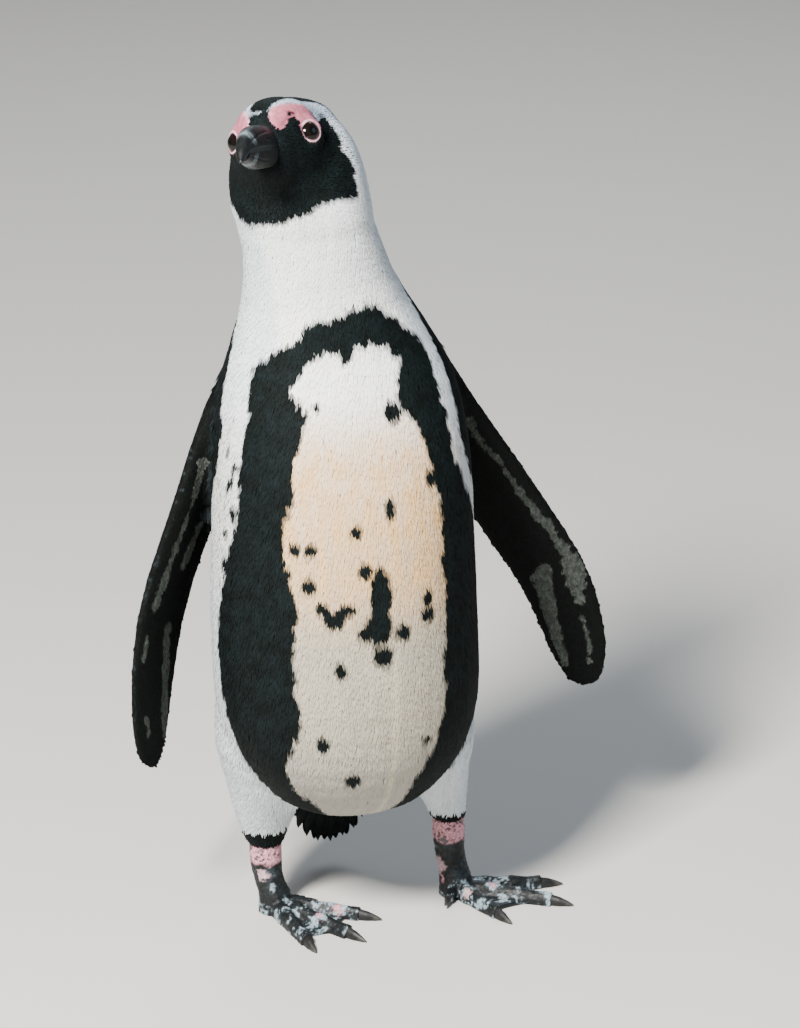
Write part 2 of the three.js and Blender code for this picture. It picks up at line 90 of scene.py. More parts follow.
def hashed(cell, seed):
    # a fixed number from 0 to 1 for each whole-number cell: prime multiples summed, then mixed by shifts
    primes = np.array([73856093, 19349663, 83492791], np.int64)
    n = (cell.astype(np.int64) * primes).sum(-1) + seed * 7919
    n = ((n ^ (n >> 13)) * 1274126177) & 0xFFFFFFFF
    n = ((n ^ (n >> 16)) * 2246822519) & 0xFFFFFFFF
    return ((n ^ (n >> 15)) & 0xFFFFFF) / 0xFFFFFF


def grain(points, size, seed):
    # smooth noise from -1 to 1: a fixed number at each corner of a cubic lattice, blended inside each cube
    p = points / size
    base = np.floor(p)
    t = p - base
    t = t * t * (3 - 2 * t)
    total = 0
    for corner in np.ndindex(2, 2, 2):
        weight = np.prod(np.where(corner, t, 1 - t), axis=-1)
        total = total + weight * hashed(base + np.array(corner), seed)
    return 2 * total - 1


def cellWalls(points, size, seed):
    # distance to the wall between the two nearest of one scattered seed per cube: 0 on the wall
    p = points / size
    base = np.floor(p)
    near = np.full(len(p), 9.0)
    second = np.full(len(p), 9.0)
    for corner in np.ndindex(3, 3, 3):
        cell = base + np.array(corner) - 1
        spot = cell + np.stack([hashed(cell, seed + k) for k in range(3)], -1)
        far = np.linalg.norm(p - spot, axis=-1)
        second = np.minimum(second, np.maximum(near, far))
        near = np.minimum(near, far)
    return second - near


def inOutline(outline, x, y):
    # even-odd rule: a point is inside if a line going right crosses the outline an odd number of times
    inside = np.zeros(len(x), bool)
    for (x0, y0), (x1, y1) in zip(outline, outline[1:] + outline[:1]):
        if y0 != y1:
            inside ^= ((y0 > y) != (y1 > y)) & (x < x0 + (y - y0) * (x1 - x0) / (y1 - y0))
    return inside


def addObject(name, data):  # a new object in the scene that shows this data
    made = bpy.data.objects.new(name, data)
    bpy.context.scene.collection.objects.link(made)
    return made


def makeMesh(name, points, faces, smooth=True):
    # faces is a list of whole-number arrays, one for each number of corners
    mesh = bpy.data.meshes.new(name)
    corners = np.concatenate([f.ravel() for f in faces]).astype(np.int32)
    sizes = np.concatenate([np.full(len(f), f.shape[1]) for f in faces])
    starts = np.concatenate([[0], np.cumsum(sizes)[:-1]]).astype(np.int32)
    mesh.vertices.add(len(points))
    mesh.vertices.foreach_set("co", points.astype(np.float32).ravel())
    mesh.loops.add(len(corners))
    mesh.loops.foreach_set("vertex_index", corners)
    mesh.polygons.add(len(starts))
    mesh.polygons.foreach_set("loop_start", starts)
    mesh.polygons.foreach_set("use_smooth", np.full(len(starts), smooth))
    mesh.update(calc_edges=True)
    return mesh


def paint(mesh, colours):  # one colour for each point, read by the materials as "plumage"
    layer = mesh.color_attributes.new("plumage", "FLOAT_COLOR", "POINT")
    rgba = np.concatenate([colours, np.ones((len(colours), 1))], 1)
    layer.data.foreach_set("color", rgba.astype(np.float32).ravel())


def makePiece(name, points, faces, material, colours, stands=()):
    # a painted mesh that rides on the body and stands for the named CAD nodes
    mesh = makeMesh(name, points, faces)
    paint(mesh, colours.clip(0, 1))
    mesh.materials.append(material)
    piece = addObject(name, mesh)
    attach(piece, "root")
    if stands:
        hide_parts(*stands)
    return piece


def setMap(piece, corners, places):
    # the piece's own UV map: each face corner takes the place of its point
    layer = piece.data.uv_layers.new(name="OFBake")
    layer.data.foreach_set("uv", places[corners].astype(np.float32).ravel())


def meshArrays(mesh):  # each point, and the point number of each face corner
    points = np.empty(len(mesh.vertices) * 3)
    mesh.vertices.foreach_get("co", points)
    corners = np.empty(len(mesh.loops), np.int32)
    mesh.loops.foreach_get("vertex_index", corners)
    return points.reshape(-1, 3), corners


def cadArrays(name):  # a CAD node's points, doubles merged, and its triangles
    points, corners = meshArrays(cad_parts[name].data)
    _, first, where = np.unique(np.round(points, 6), axis=0, return_index=True, return_inverse=True)
    return points[first], where.reshape(-1)[corners].reshape(-1, 3)


def joined(parts):  # the faces of several shapes, numbered on from one to the next
    offset = np.cumsum([0] + [len(p) for p, _ in parts[:-1]])
    return np.concatenate([p for p, _ in parts]), np.concatenate([f + o for (_, f), o in zip(parts, offset)])


def faceWays(points, faces):  # the cross product of each face's diagonals: its normal, twice its area long
    across = points[faces[:, 2]] - points[faces[:, 0]]
    return np.cross(across, points[faces[:, 3 % faces.shape[1]]] - points[faces[:, 1]])


def pointNormals(points, faces):  # the area-weighted mean of the faces round each point
    total = np.zeros((len(points), 3))
    for f in faces:
        normal = faceWays(points, f)
        for corner in f.T:
            for axis in range(3):
                total[:, axis] += np.bincount(corner, normal[:, axis], len(points))
    return unit(total)


def edgesOf(faces):  # each face corner paired with the next, every pair once
    pairs = np.concatenate([np.stack([f, np.roll(f, -1, 1)], -1).reshape(-1, 2) for f in faces])
    return np.unique(np.sort(pairs, 1), axis=0)


def spread(values, edges, share, rounds):
    # each round moves every point's values by this share towards the mean of its neighbours'
    count = np.maximum(np.bincount(edges.ravel(), minlength=len(values)), 1.0)
    flat = values.reshape(len(values), -1).astype(float)
    share = np.broadcast_to(share, len(values))[:, None]
    a, b = edges.T
    for _ in range(rounds):
        total = np.stack([np.bincount(a, column[b], len(flat)) + np.bincount(b, column[a], len(flat))
                          for column in flat.T], -1)
        flat = flat + share * (total / count[:, None] - flat)
    return flat.reshape(values.shape)


def remeshed(parts, voxel):
    # closed shapes that overlap become one closed surface of even quads
    points, triangles = joined(parts)
    rough = addObject("rough", makeMesh("rough", points, [triangles]))
    remesh = rough.modifiers.new("even", "REMESH")
    remesh.mode = "VOXEL"
    remesh.voxel_size = voxel
    even = rough.evaluated_get(bpy.context.evaluated_depsgraph_get()).to_mesh()
    points, corners = meshArrays(even)
    bpy.data.objects.remove(rough)
    return points, corners.reshape(-1, 4)


def closedTube(rings):
    # rings of equal count along a shape, closed by a fan to the middle of the first and the last ring
    count, around = rings.shape[:2]
    points = np.concatenate([rings.reshape(-1, 3), rings[:1].mean(1), rings[-1:].mean(1)])
    i = np.arange(around)
    j = (i + 1) % around
    row = np.arange(count - 1)[:, None] * around
    quads = np.stack([row + i, row + j, row + around + j, row + around + i], -1).reshape(-1, 4)
    last = (count - 1) * around
    hub = np.full(around, count * around)
    caps = np.concatenate([np.stack([hub, j, i], -1), np.stack([hub + 1, last + i, last + j], -1)])
    # a negative volume, summed over the triangles, means that the faces point inwards
    corner = points[np.concatenate([caps, quads[:, :3], quads[:, [0, 2, 3]]])]
    if dot(corner[:, 0], np.cross(corner[:, 1], corner[:, 2])).sum() < 0:
        quads, caps = quads[:, ::-1], caps[:, ::-1]
    return points, [quads, caps]


class Shade:
    # wraps one output socket, so that materials read as sums
    def __init__(self, tree, socket):
        self.tree = tree
        self.socket = socket

    def node(self, kind, settings, inputs):  # any node: its type, its settings, then socket values or links
        made = self.tree.nodes.new(kind)
        for key, value in settings.items():
            setattr(made, key, value)
        for key, value in inputs.items():
            if isinstance(value, Shade):
                self.tree.links.new(value.socket, made.inputs[key])
            else:
                made.inputs[key].default_value = value
        return made

    def out(self, kind, settings, inputs, socket=0):
        return Shade(self.tree, self.node(kind, settings, inputs).outputs[socket])

    def math(self, operation, a, b):
        return self.out("ShaderNodeMath", {"operation": operation}, {0: a, 1: b})

    def __add__(self, other):
        return self.math("ADD", self, other)

    def __radd__(self, other):
        return self.math("ADD", other, self)

    def __mul__(self, other):
        return self.math("MULTIPLY", self, other)

    def __rmul__(self, other):
        return self.math("MULTIPLY", other, self)

    def over(self, low, high):  # 0 below low, 1 above high
        return self.out("ShaderNodeMapRange", {"interpolation_type": "SMOOTHSTEP"},
                        {"Value": self, "From Min": low, "From Max": high})

    def noise(self, scale, detail=3.0, rough=0.55):
        return self.out("ShaderNodeTexNoise", {},
                        {"Vector": self, "Scale": scale, "Detail": detail, "Roughness": rough})

    def cells(self, scale):  # the distance to the nearest wall between scattered cells
        return self.out("ShaderNodeTexVoronoi", {"feature": "DISTANCE_TO_EDGE"},
                        {"Vector": self, "Scale": scale})

    def greys(self, dark, light):  # self is the share of the light grey
        return self.mix((dark, dark, dark, 1), (light, light, light, 1))

    def mix(self, a, b):  # self is the share of b
        return self.out("ShaderNodeMix", {"data_type": "RGBA"}, {0: self, 6: a, 7: b}, 2)

    def times(self, tone):  # two colours multiplied
        return self.out("ShaderNodeMix", {"data_type": "RGBA", "blend_type": "MULTIPLY"},
                        {0: 1.0, 6: self, 7: tone}, 2)

    def bumped(self, distance, strength):
        return self.out("ShaderNodeBump", {}, {"Height": self, "Distance": distance, "Strength": strength})


def makeMaterial(name, finish, sockets):
    # sockets holds what is the same all over; finish works out the rest from the place and the painted
    # colour
    material = bpy.data.materials.new(name)
    material.use_nodes = True
    tree = material.node_tree
    tree.nodes.clear()
    start = Shade(tree, None)
    output = start.node("ShaderNodeOutputMaterial", {}, {})
    surface = start.node("ShaderNodeBsdfPrincipled", {}, sockets)
    tree.links.new(surface.outputs[0], output.inputs[0])
    place = start.out("ShaderNodeTexCoord", {}, {}, 3)
    painted = start.out("ShaderNodeAttribute", {"attribute_name": "plumage"}, {})
    for socket, value in finish(place, painted).items():
        tree.links.new(value.socket, surface.inputs[socket])
    return material


camera = {"azimuth": -14, "elevation": 20, "distance": 3.4, "lens": 187.5, "aim": (0.0298, 0.0796, 0.2393)}
studio = {
    "floor": (0.54, 0.52, 0.49), "floorReach": 9.0, "middle": (0, 0, 0.27),
    "backdrop": (0.72, 0.74, 0.78), "backdropStrength": 0.32,
    # name: azimuth and elevation it shines from, distance, size, watts, colour
    "lights": {
        "key": (-42, 42, 2.2, 0.45, 215, (1.0, 0.975, 0.93)),
        "fill": (64, 28, 2.6, 1.6, 14, (0.46, 0.70, 1.0)),
        "back": (165, 40, 2.4, 1.2, 22, (0.80, 0.90, 1.0)),
    },
}


def standAt(thing, middle, azimuth, elevation, distance):
    # this far from the middle, round it from the front and up from level, and facing it
    a, e = math.radians(azimuth), math.radians(elevation)
    away = Vector((math.sin(a) * math.cos(e), -math.cos(a) * math.cos(e), math.sin(e)))
    thing.location = Vector(middle) + away * distance
    thing.rotation_euler = (-away).to_track_quat("-Z", "Y").to_euler()


def placeCamera():
    data = bpy.data.cameras.new("camera")
    data.lens = camera["lens"]
    data.clip_end = 100
    eye = addObject("camera", data)
    standAt(eye, camera["aim"], camera["azimuth"], camera["elevation"], camera["distance"])
    bpy.context.scene.camera = eye


def placeLights():
    for name, (azimuth, elevation, distance, size, watts, colour) in studio["lights"].items():
        data = bpy.data.lights.new(name, "AREA")
        data.size = size
        data.energy = watts
        data.color = colour
        standAt(addObject(name, data), studio["middle"], azimuth, elevation, distance)
    world = bpy.data.worlds.new("studio")
    world.use_nodes = True
    sky = world.node_tree.nodes["Background"]
    sky.inputs[0].default_value = (*studio["backdrop"], 1)
    sky.inputs[1].default_value = studio["backdropStrength"]
    bpy.context.scene.world = world


def floorFinish(place, painted):  # two nearly equal greys in wide soft patches
    dull = [c * 0.97 for c in studio["floor"]]
    return {"Base Color": place.noise(3.0).mix((*dull, 1), (*studio["floor"], 1))}


def layFloor():
    corners = np.array([(-1, -1, 0), (1, -1, 0), (1, 1, 0), (-1, 1, 0)]) * studio["floorReach"]
    mesh = makeMesh("floor", corners, [np.array([[0, 1, 2, 3]])], smooth=False)
    mesh.materials.append(makeMaterial("paleFloor", floorFinish, {"Roughness": 0.85}))
    addObject("floor", mesh)


# the middle line of trunk and neck: height, x, y
middleLine = np.array([(0.07, -0.0205, 0.0174), (0.125, -0.023, 0.0034), (0.185, -0.0245, -0.0006),
                       (0.305, -0.0255, 0.0024), (0.385, -0.029, 0.0094), (0.425, -0.0375, 0.0089),
                       (0.465, -0.0485, 0.0059), (0.503, -0.0525, 0.0074), (0.529, -0.0545, 0.0124)])

# the head is turned to the bird's right, tipped up and rolled a little, in degrees; the eyes' middles
# stand this far forward and up from the point that head places are measured from
headPose = {"turn": 28, "tip": 17, "roll": 12, "eyeForward": 0.0065, "eyeUp": -0.003}


def headAxes():  # forward along the bill, left and up, each one long
    turn, tip, roll = [math.radians(headPose[k]) for k in ("turn", "tip", "roll")]
    forward = np.array([-math.sin(turn) * math.cos(tip), -math.cos(turn) * math.cos(tip), math.sin(tip)])
    level = np.array([math.cos(turn), -math.sin(turn), 0])
    upright = np.cross(level, forward)
    upright *= np.sign(upright[2])
    left = level * math.cos(roll) + upright * math.sin(roll)
    up = upright * math.cos(roll) - level * math.sin(roll)
    return forward, left, up


headForward, headLeft, headUp = headAxes()
eyeCentre = {side: np.array(sum(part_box("eye_" + side), Vector())) / 2 for side in ("left", "right")}
eyeRadius = (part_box("eye_left")[1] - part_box("eye_left")[0])[0] / 2
betweenEyes = ((eyeCentre["left"] + eyeCentre["right"]) / 2 - headForward * headPose["eyeForward"]
               - headUp * headPose["eyeUp"])


def headPlace(points):  # forward, left and up from the point between the eyes
    offset = points - betweenEyes
    return offset @ headForward, offset @ headLeft, offset @ headUp


def fromHead(forward, left, up):  # the other way round
    forward, left, up = np.broadcast_arrays(forward, left, up)
    return (betweenEyes + forward[..., None] * headForward + left[..., None] * headLeft
            + up[..., None] * headUp)


def offMiddleLine(points):  # how far to the left and to the back of the middle line at the same height
    x, y = [np.interp(points[:, 2], middleLine[:, 0], middleLine[:, k]) for k in (1, 2)]
    return points[:, 0] - x, points[:, 1] - y


def bodyPlace(points):  # degrees round the middle line, 0 in front and 90 at the bird's left, and height
    x, y = offMiddleLine(points)
    return np.degrees(np.arctan2(x, -y)), points[:, 2]


slicing = {"first": 0.06, "last": 0.94, "count": 12, "near": 0.07}  # shares of a limb's length


def nodeAxes(name, hints):
    # a node's middle and its long, wide and thin ways, each turned to agree with a hint, and the highest
    # and lowest of its thin way in slices along it
    points, _ = cadArrays(name)
    centre = points.mean(0)
    _, _, ways = np.linalg.svd(points - centre, full_matrices=False)
    ways = [way * (1 if way @ np.array(hint) > 0 else -1) for way, hint in zip(ways, hints)]
    reach = [(points - centre) @ way for way in ways]
    along = reach[0] - reach[0].min()
    slices = np.linspace(slicing["first"], slicing["last"], slicing["count"]) * along.max()
    near = [reach[2][np.abs(along - at) < along.max() * slicing["near"]] for at in slices]
    top, bottom = np.array([n.max() for n in near]), np.array([n.min() for n in near])
    return {"centre": centre, "ways": ways, "start": reach[0].min(), "length": np.ptp(reach[0]),
            "along": slices, "top": top, "bottom": bottom, "middle": (top + bottom) / 2}


limbs = {
    "flipper_right": nodeAxes("flipper_right", [(0, 0, -1), (-1, -0.5, 0), (0, -1, 0)]),
    "flipper_left": nodeAxes("flipper_left", [(0, 0, -1), (1, -0.5, 0), (0, -1, 0)]),
    "tail": nodeAxes("tail", [(0, 0.3, -1), (1, 0, 0), (0, 1, 0)]),
}


def limbPlace(name, points):  # along from the root, across and through, in metres
    limb = limbs[name]
    along, across, through = [(points - limb["centre"]) @ way for way in limb["ways"]]
    return along - limb["start"], across, through


fleshNodes = ["head", "neck", "trunk", "tail", "flipper_right", "flipper_left", "shank_right", "shank_left"]
skinBuild = {
    "voxel": 0.0020, "overlap": 0.0005, "rounds": 10,
    # the crease between throat and neck is smoothed longer: its middle in head axes, where that starts to
    # fade and ends, its rounds, and the ring at the bill's root that stays as it is
    "crease": (-0.012, 0, -0.03), "creaseFades": (0.040, 0.062), "creaseRounds": 60,
    "billRoot": (0.028, 0.010),
    # how deep the skin lies under the feather tips, how its steps are smoothed, and how much is left out
    # on bare skin
    "depth": {"head": 0.0013, "neck": 0.0021, "trunk": 0.0024, "tail": 0.0035, "flipper_right": 0.0009,
              "flipper_left": 0.0009, "shank_right": 0.0020, "shank_left": 0.0020},
    "depthRounds": 12, "bareShare": 0.9,
    # how far the crown's skin is raised back, and how deep and wide the wrinkles of bare skin are
    "crownRise": 0.0019, "wrinkleDeep": 0.00022, "wrinkleSize": 0.0016,
    # feathers sweep back across a flipper by this share, and settle over these rounds
    "sweep": {"flipper_right": -0.28, "flipper_left": -0.28, "tail": 0.0}, "lieRounds": 14,
}
# metres from the eye's axis: the hole in the skin, the rim of the lids and where the levelling ends; then
# how far out the skin stands there, how far out inside the hole, and the furthest back that is levelled
eyeSocket = {"opening": 0.0054, "rim": 0.0072, "reach": 0.0130, "level": 0.0047, "sunk": 0.0022,
             "behind": -0.004}


def fleshShapes():  # each flesh node and eye, grown a little along its normals so that neighbours overlap
    shapes = []
    for name in fleshNodes + ["eye_left", "eye_right"]:
        points, triangles = cadArrays(name)
        shapes.append((points + pointNormals(points, [triangles]) * skinBuild["overlap"], triangles))
    return shapes


def nearestNode(points):
    # the flesh node whose corner or face middle is nearest, found by the squared distance of every pair
    samples, owner = [], []
    for i, name in enumerate(fleshNodes):
        corners, triangles = cadArrays(name)
        here = np.concatenate([corners, corners[triangles].mean(1)])
        samples.append(here)
        owner.append(np.full(len(here), i))
    samples = np.concatenate(samples).astype(np.float32)
    owner = np.concatenate(owner)
    nearest = []
    for block in np.array_split(points.astype(np.float32), 24):  # blocks that fit in memory
        apart = (samples ** 2).sum(1) - 2 * block @ samples.T
        nearest.append(owner[apart.argmin(1)])
    return np.concatenate(nearest)


def settleEyes(points):
    # round each eye the skin is level with the rim of the lids, and sinks inside the eyeball within the
    # opening
    for side in ("left", "right"):
        outward = eyeAxes(side)[0]
        height = (points - eyeCentre[side]) @ outward
        away = fromGaze(side, points)
        level = np.where(away < eyeSocket["opening"], eyeSocket["sunk"], eyeSocket["level"])
        near = (1 - ease(eyeSocket["rim"], eyeSocket["reach"], away)) * (height > eyeSocket["behind"])
        points = points + ((level - height) * near)[:, None] * outward
    return points


def growSkin():
    # the flesh as one surface: smoothed, drawn in by the depth of the feathers, wrinkled where it is
    # bare, and levelled round the eyes; lie is the way the feathers run on it
    dial = skinBuild
    points, quads = remeshed(fleshShapes(), dial["voxel"])
    edges = edgesOf([quads])
    node = nearestNode(points)
    forward, _, up = headPlace(points)
    fromCrease = np.linalg.norm(points - fromHead(*dial["crease"]), axis=1)
    crease = (1 - ease(*dial["creaseFades"], fromCrease)) * (1 - bump(forward, *dial["billRoot"]))
    points = spread(points, edges, 0.5, dial["rounds"])
    points = spread(points, edges, 0.5 * crease, dial["creaseRounds"])
    bare = ease(0.2, 0.8, spread(bareFace(points).astype(float), edges, 0.5, 2))
    depths = np.array([dial["depth"][name] for name in fleshNodes])[node]
    depths = spread(depths, edges, 0.5, dial["depthRounds"]) * (1 - dial["bareShare"] * bare)
    depths = depths - dial["crownRise"] * ease(0.004, 0.014, up) * ease(0.500, 0.520, points[:, 2])
    wrinkles = dial["wrinkleDeep"] * grain(points, dial["wrinkleSize"], 15) * bare
    points = points + pointNormals(points, [quads]) * (wrinkles - depths)[:, None]
    points = settleEyes(points)
    normals = pointNormals(points, [quads])
    lie = spread(lieOf(points, node), edges, 0.6, dial["lieRounds"])
    lie = unit(lie - dot(lie, normals)[:, None] * normals)
    return {"points": points, "quads": quads, "node": node, "normals": normals, "lie": lie,
            "bend": bendAlong(points, normals, lie, edges)}


def bendAlong(points, normals, lie, edges):
    # how fast the normal tips forward along the lie, per metre: a line through zero fitted over each
    # point's edges
    a, b = np.concatenate([edges, edges[:, ::-1]]).T
    step = dot(points[b] - points[a], lie[a])
    tip = dot(normals[b] - normals[a], lie[a])
    squares = np.bincount(a, step ** 2, len(points))
    bend = np.bincount(a, step * tip, len(points)) / np.maximum(squares, 1e-12)
    return np.clip(spread(bend, edges, 0.5, 4), -60, 120)


def lieOf(points, node):
    # feathers run from the bill's middle back over the head, down the body, back under the legs, and out
    # along each limb
    fromBill = unit(points - fromHead(0.034, 0, -0.008))
    down = np.array([0, 0, -1.0]) + np.array([0, 0.8, 0]) * (1 - ease(0.08, 0.15, points[:, 2]))[:, None]
    onHead = ease(0.455, 0.495, points[:, 2])[:, None]
    lie = down * (1 - 0.6 * onHead) + fromBill * 1.3 * onHead
    for name, sweep in skinBuild["sweep"].items():
        along, across, _ = limbs[name]["ways"]
        lie[node == fleshNodes.index(name)] = along + across * sweep
    return unit(lie)


# outlines of the body's markings in degrees round the middle line and millimetres up
bodyMarks = {
    "back": [(112, 60), (108, 100), (104, 140), (101, 200), (99, 245), (92, 275), (80, 288), (68, 301),
             (62, 316), (61, 336), (65, 355), (68, 385), (72, 402), (78, 418), (86, 436), (93, 455),
             (97, 480), (94, 500), (92, 540), (218, 540), (218, 500), (222, 480), (230, 455), (240, 436),
             (250, 418), (258, 402), (270, 385), (272, 370), (273, 352), (279, 336), (271, 301),
             (260, 283), (257, 245), (255, 200), (252, 140), (248, 100), (244, 60)],
    "band": [(-64, 377), (-60, 383), (-47, 392), (-34, 399), (-30, 404), (-19, 410), (-6, 412), (6, 415),
             (19, 418), (30, 418), (33, 412), (42, 404), (48, 397), (57, 389), (56, 383), (53, 363),
             (52, 342), (51, 321), (55, 305), (64, 287), (72, 269), (76, 250), (80, 220), (82, 190),
             (80, 160), (76, 140), (72, 120), (66, 100), (64, 40), (-58, 40), (-63, 95), (-68, 116),
             (-72, 126), (-74, 141), (-78, 156), (-81, 168), (-84, 194), (-78, 236), (-73, 258),
             (-70, 269), (-64, 287), (-66, 311), (-65, 323), (-64, 336), (-62, 348), (-63, 360)],
    "belly": [(-41, 368), (-35, 376), (-28, 386), (-18, 390), (-9, 388), (-7, 384), (1, 388), (7, 392),
              (17, 393), (26, 389), (32, 380), (23, 364), (24, 355), (31, 345), (33, 324), (36, 299),
              (35, 262), (35, 210), (32, 198), (34, 171), (30, 152), (28, 135), (23, 121), (20, 109),
              (18, 88), (40, 60), (-50, 60), (-28, 88), (-33, 104), (-39, 107), (-43, 124), (-40, 137),
              (-32, 160), (-35, 180), (-36, 206), (-34, 239), (-37, 251), (-41, 269), (-39, 294),
              (-36, 306), (-38, 327), (-34, 333), (-32, 347), (-29, 353), (-32, 359)],
    # spots: degrees, height, half the width and half the height
    "spots": [(9, 298, 2.8, 5), (-8, 286, 3.2, 3.4), (-35, 275, 3, 3.2), (-28, 275, 3.4, 3.2),
              (-29, 253, 3.6, 3.8), (-4, 262, 3.6, 4.4), (2.5, 247, 5.2, 13), (1.5, 226, 6.4, 9),
              (12, 221, 4, 4), (-5, 222, 3.6, 4), (3, 207, 5, 5.5), (-23, 239, 3.4, 3),
              (-18, 232, 4.6, 5), (-12.5, 238, 4, 3.6), (-16, 199, 3, 4), (-24, 150, 3.2, 4),
              (-11, 122, 4, 4), (25, 240, 3, 3.8), (25, 229, 3.6, 4), (24, 146, 2.6, 2.6),
              (32, 312, 2.8, 4), (-25, 359, 1.8, 2.2), (19, 353, 5.5, 5), (36, 260, 3, 3),
              (-39, 259, 3, 3)],
    # feathers that stay pale between the legs: the middle and radius in metres, and up to what height
    "vent": (-0.021, 0.017, 0.036, 92),
    # fine flecks on the right flank: degrees and half the width, height and half the height
    "flecks": (-72, 12, 284, 58),
}
# head markings in millimetres forward, aside and up from the point between the eyes
headMarks = {
    # the marks' middle line stands this far to the right at the forehead
    "aslant": 2.1,
    # half the width of the black crown at each place forward
    "crown": [(-60, 44), (-40, 35), (-34, 26), (-29, 19.5), (-20, 15.5), (-10, 13), (0, 10.4), (8, 8.8),
              (16, 7.5), (20.6, 6.4), (24.3, 5.4), (25.2, 0)],
    # how far out the pale brow reaches
    "brow": [(-20, 24), (-7.5, 24.6), (-2.8, 21.4), (1.7, 16.8), (9.3, 12.9), (15.9, 10.4), (20.3, 7.7),
             (24, 5.7)],
    # bare skin from the bill to the eye: forward and aside
    "patch": [(25.1, 5.7), (20.3, 7.7), (15.9, 10.4), (9.3, 12.9), (1.7, 16.8), (-2.8, 21.4), (-4, 25),
              (1, 30), (17, 27), (17.9, 22.6), (16.1, 21.2), (14, 20.2), (15.6, 18.5), (18.6, 16.4),
              (21, 15.7), (25, 14.4), (28.6, 12.1), (29.8, 9.1), (28.5, 6.1)],
    # the back edge of the mask: height, forward
    "cheek": [(-60, -19), (-34, -19), (-25, -20.5), (-18.5, -19.5), (-15, -15.6), (-10, -20.5), (0, -20.4),
              (12, -20.4)],
    # the lower edge of the mask: degrees round the head from the bill, and height
    "throat": [(-180, -26), (-130, -32), (-99, -40), (-94, -49), (-85, -52), (-60, -54), (-25, -56),
               (-1, -56), (16, -54), (46, -53.4), (59, -50.6), (74, -46.7), (84, -45.6), (101, -46.6),
               (109, -42.6), (130, -32), (180, -26)],
    # the lids' outer edge, and how low the patch reaches outside the eye and at all
    "ring": 8.3, "patchLow": -1.5, "patchOutside": 19, "patchLowest": -9,
    # a few black flecks behind the mask's back edge: forward and up, each with half the reach
    "flecks": (-23, 3.5, -12, 13),
    # a short pale line over the bill: forward at the middle, its slant, half its width, its middle and
    # half its length
    "line": (25.2, 0.62, 0.4, -5.5, 5),
}
# some colours here hold painted light: the blue-tinged black is a painted sheen, the bluish white is painted
# shade, the two greyer belly whites are partly the belly's own tone and partly painted shade, and the
# blue-grey of the brow is painted shade
tints = {
    "black": (0.0026, 0.0040, 0.0034), "paintedSheen": (0.0048, 0.0078, 0.0085), "white": (0.86, 0.87, 0.85),
    "shadedBlueWhite": (0.60, 0.67, 0.72), "cream": (0.63, 0.405, 0.195), "greyAndShade": (0.385, 0.35, 0.28),
    "lowGreyAndShade": (0.31, 0.305, 0.28), "keel": (0.60, 0.53, 0.38), "backTip": (0.016, 0.021, 0.025),
    "flipper": (0.0028, 0.0036, 0.0034), "mottle": (0.056, 0.064, 0.058), "pink": (0.39, 0.125, 0.165),
    "pinkPale": (0.56, 0.35, 0.40), "brow": (0.37, 0.46, 0.57), "tail": (0.0045, 0.0056, 0.0060),
}
tints = {name: np.array(tint) for name, tint in tints.items()}
raggedEdge = {"size": 0.0036, "amount": 0.0023, "fineSize": 0.0016, "fineAmount": 0.0011}


def ragged(points, seed):  # coarse and fine noise in millimetres, which breaks the edges of marks into tufts
    coarse = raggedEdge["amount"] * grain(points, raggedEdge["size"], seed)
    return (coarse + raggedEdge["fineAmount"] * grain(points, raggedEdge["fineSize"], seed + 5)) / mm


def blend(a, b, share):  # a where the share is 0 and b where it is 1
    return a + (b - a) * np.asarray(share)[..., None]


def headMarkPlace(points):  # forward, aside from the marks' middle line and up, in millimetres
    forward, left, up = [v / mm for v in headPlace(points)]
    return forward, np.abs(left + headMarks["aslant"] * ease(5, 20, forward)), up


def eyeDistance(points):  # how far each point is from the nearer eye's middle
    return np.minimum(*[np.linalg.norm(points - c, axis=1) for c in eyeCentre.values()])


def bareFace(points):  # whether a point is in the pink patch or near an eye
    forward, side, up = headMarkPlace(points)
    inside = (up > headMarks["patchLow"]) | (side < headMarks["patchOutside"])
    patch = inOutline(headMarks["patch"], forward, side) & inside & (up > headMarks["patchLowest"])
    return patch | (eyeDistance(points) < headMarks["ring"] * mm)


def bodyBlack(points):  # the back, the horseshoe band, the spots on the belly and the flecks on the flank
    angle, height = bodyPlace(points)
    height = height / mm
    torn, tornHeight = angle + ragged(points, 1) * 0.8, height + ragged(points, 2) * 1.5
    back = inOutline(bodyMarks["back"], torn % 360, tornHeight)
    belly = inOutline(bodyMarks["belly"], torn, tornHeight)
    band = inOutline(bodyMarks["band"], torn, tornHeight) & ~belly
    spotEdge = 1.75 + 0.6 * grain(points, 0.0024, 7)
    spotted = np.zeros(len(points), bool)
    for at, level, wide, high in bodyMarks["spots"]:
        spotted |= ((angle - at) * 1.35 / wide) ** 2 + ((height - level) / high) ** 2 < spotEdge
    x, y, radius, top = bodyMarks["vent"]
    vent = (tornHeight < top) & (np.hypot(points[:, 0] - x, points[:, 1] - y) < radius)
    at, wide, level, high = bodyMarks["flecks"]
    often = bump(height, level, high) * bump(angle, at, wide)
    flecks = grain(points * np.array([1, 1, 0.6]), 0.0034, 8) > 1.1 - 1.05 * often
    return (back | band | spotted | flecks) & ~vent


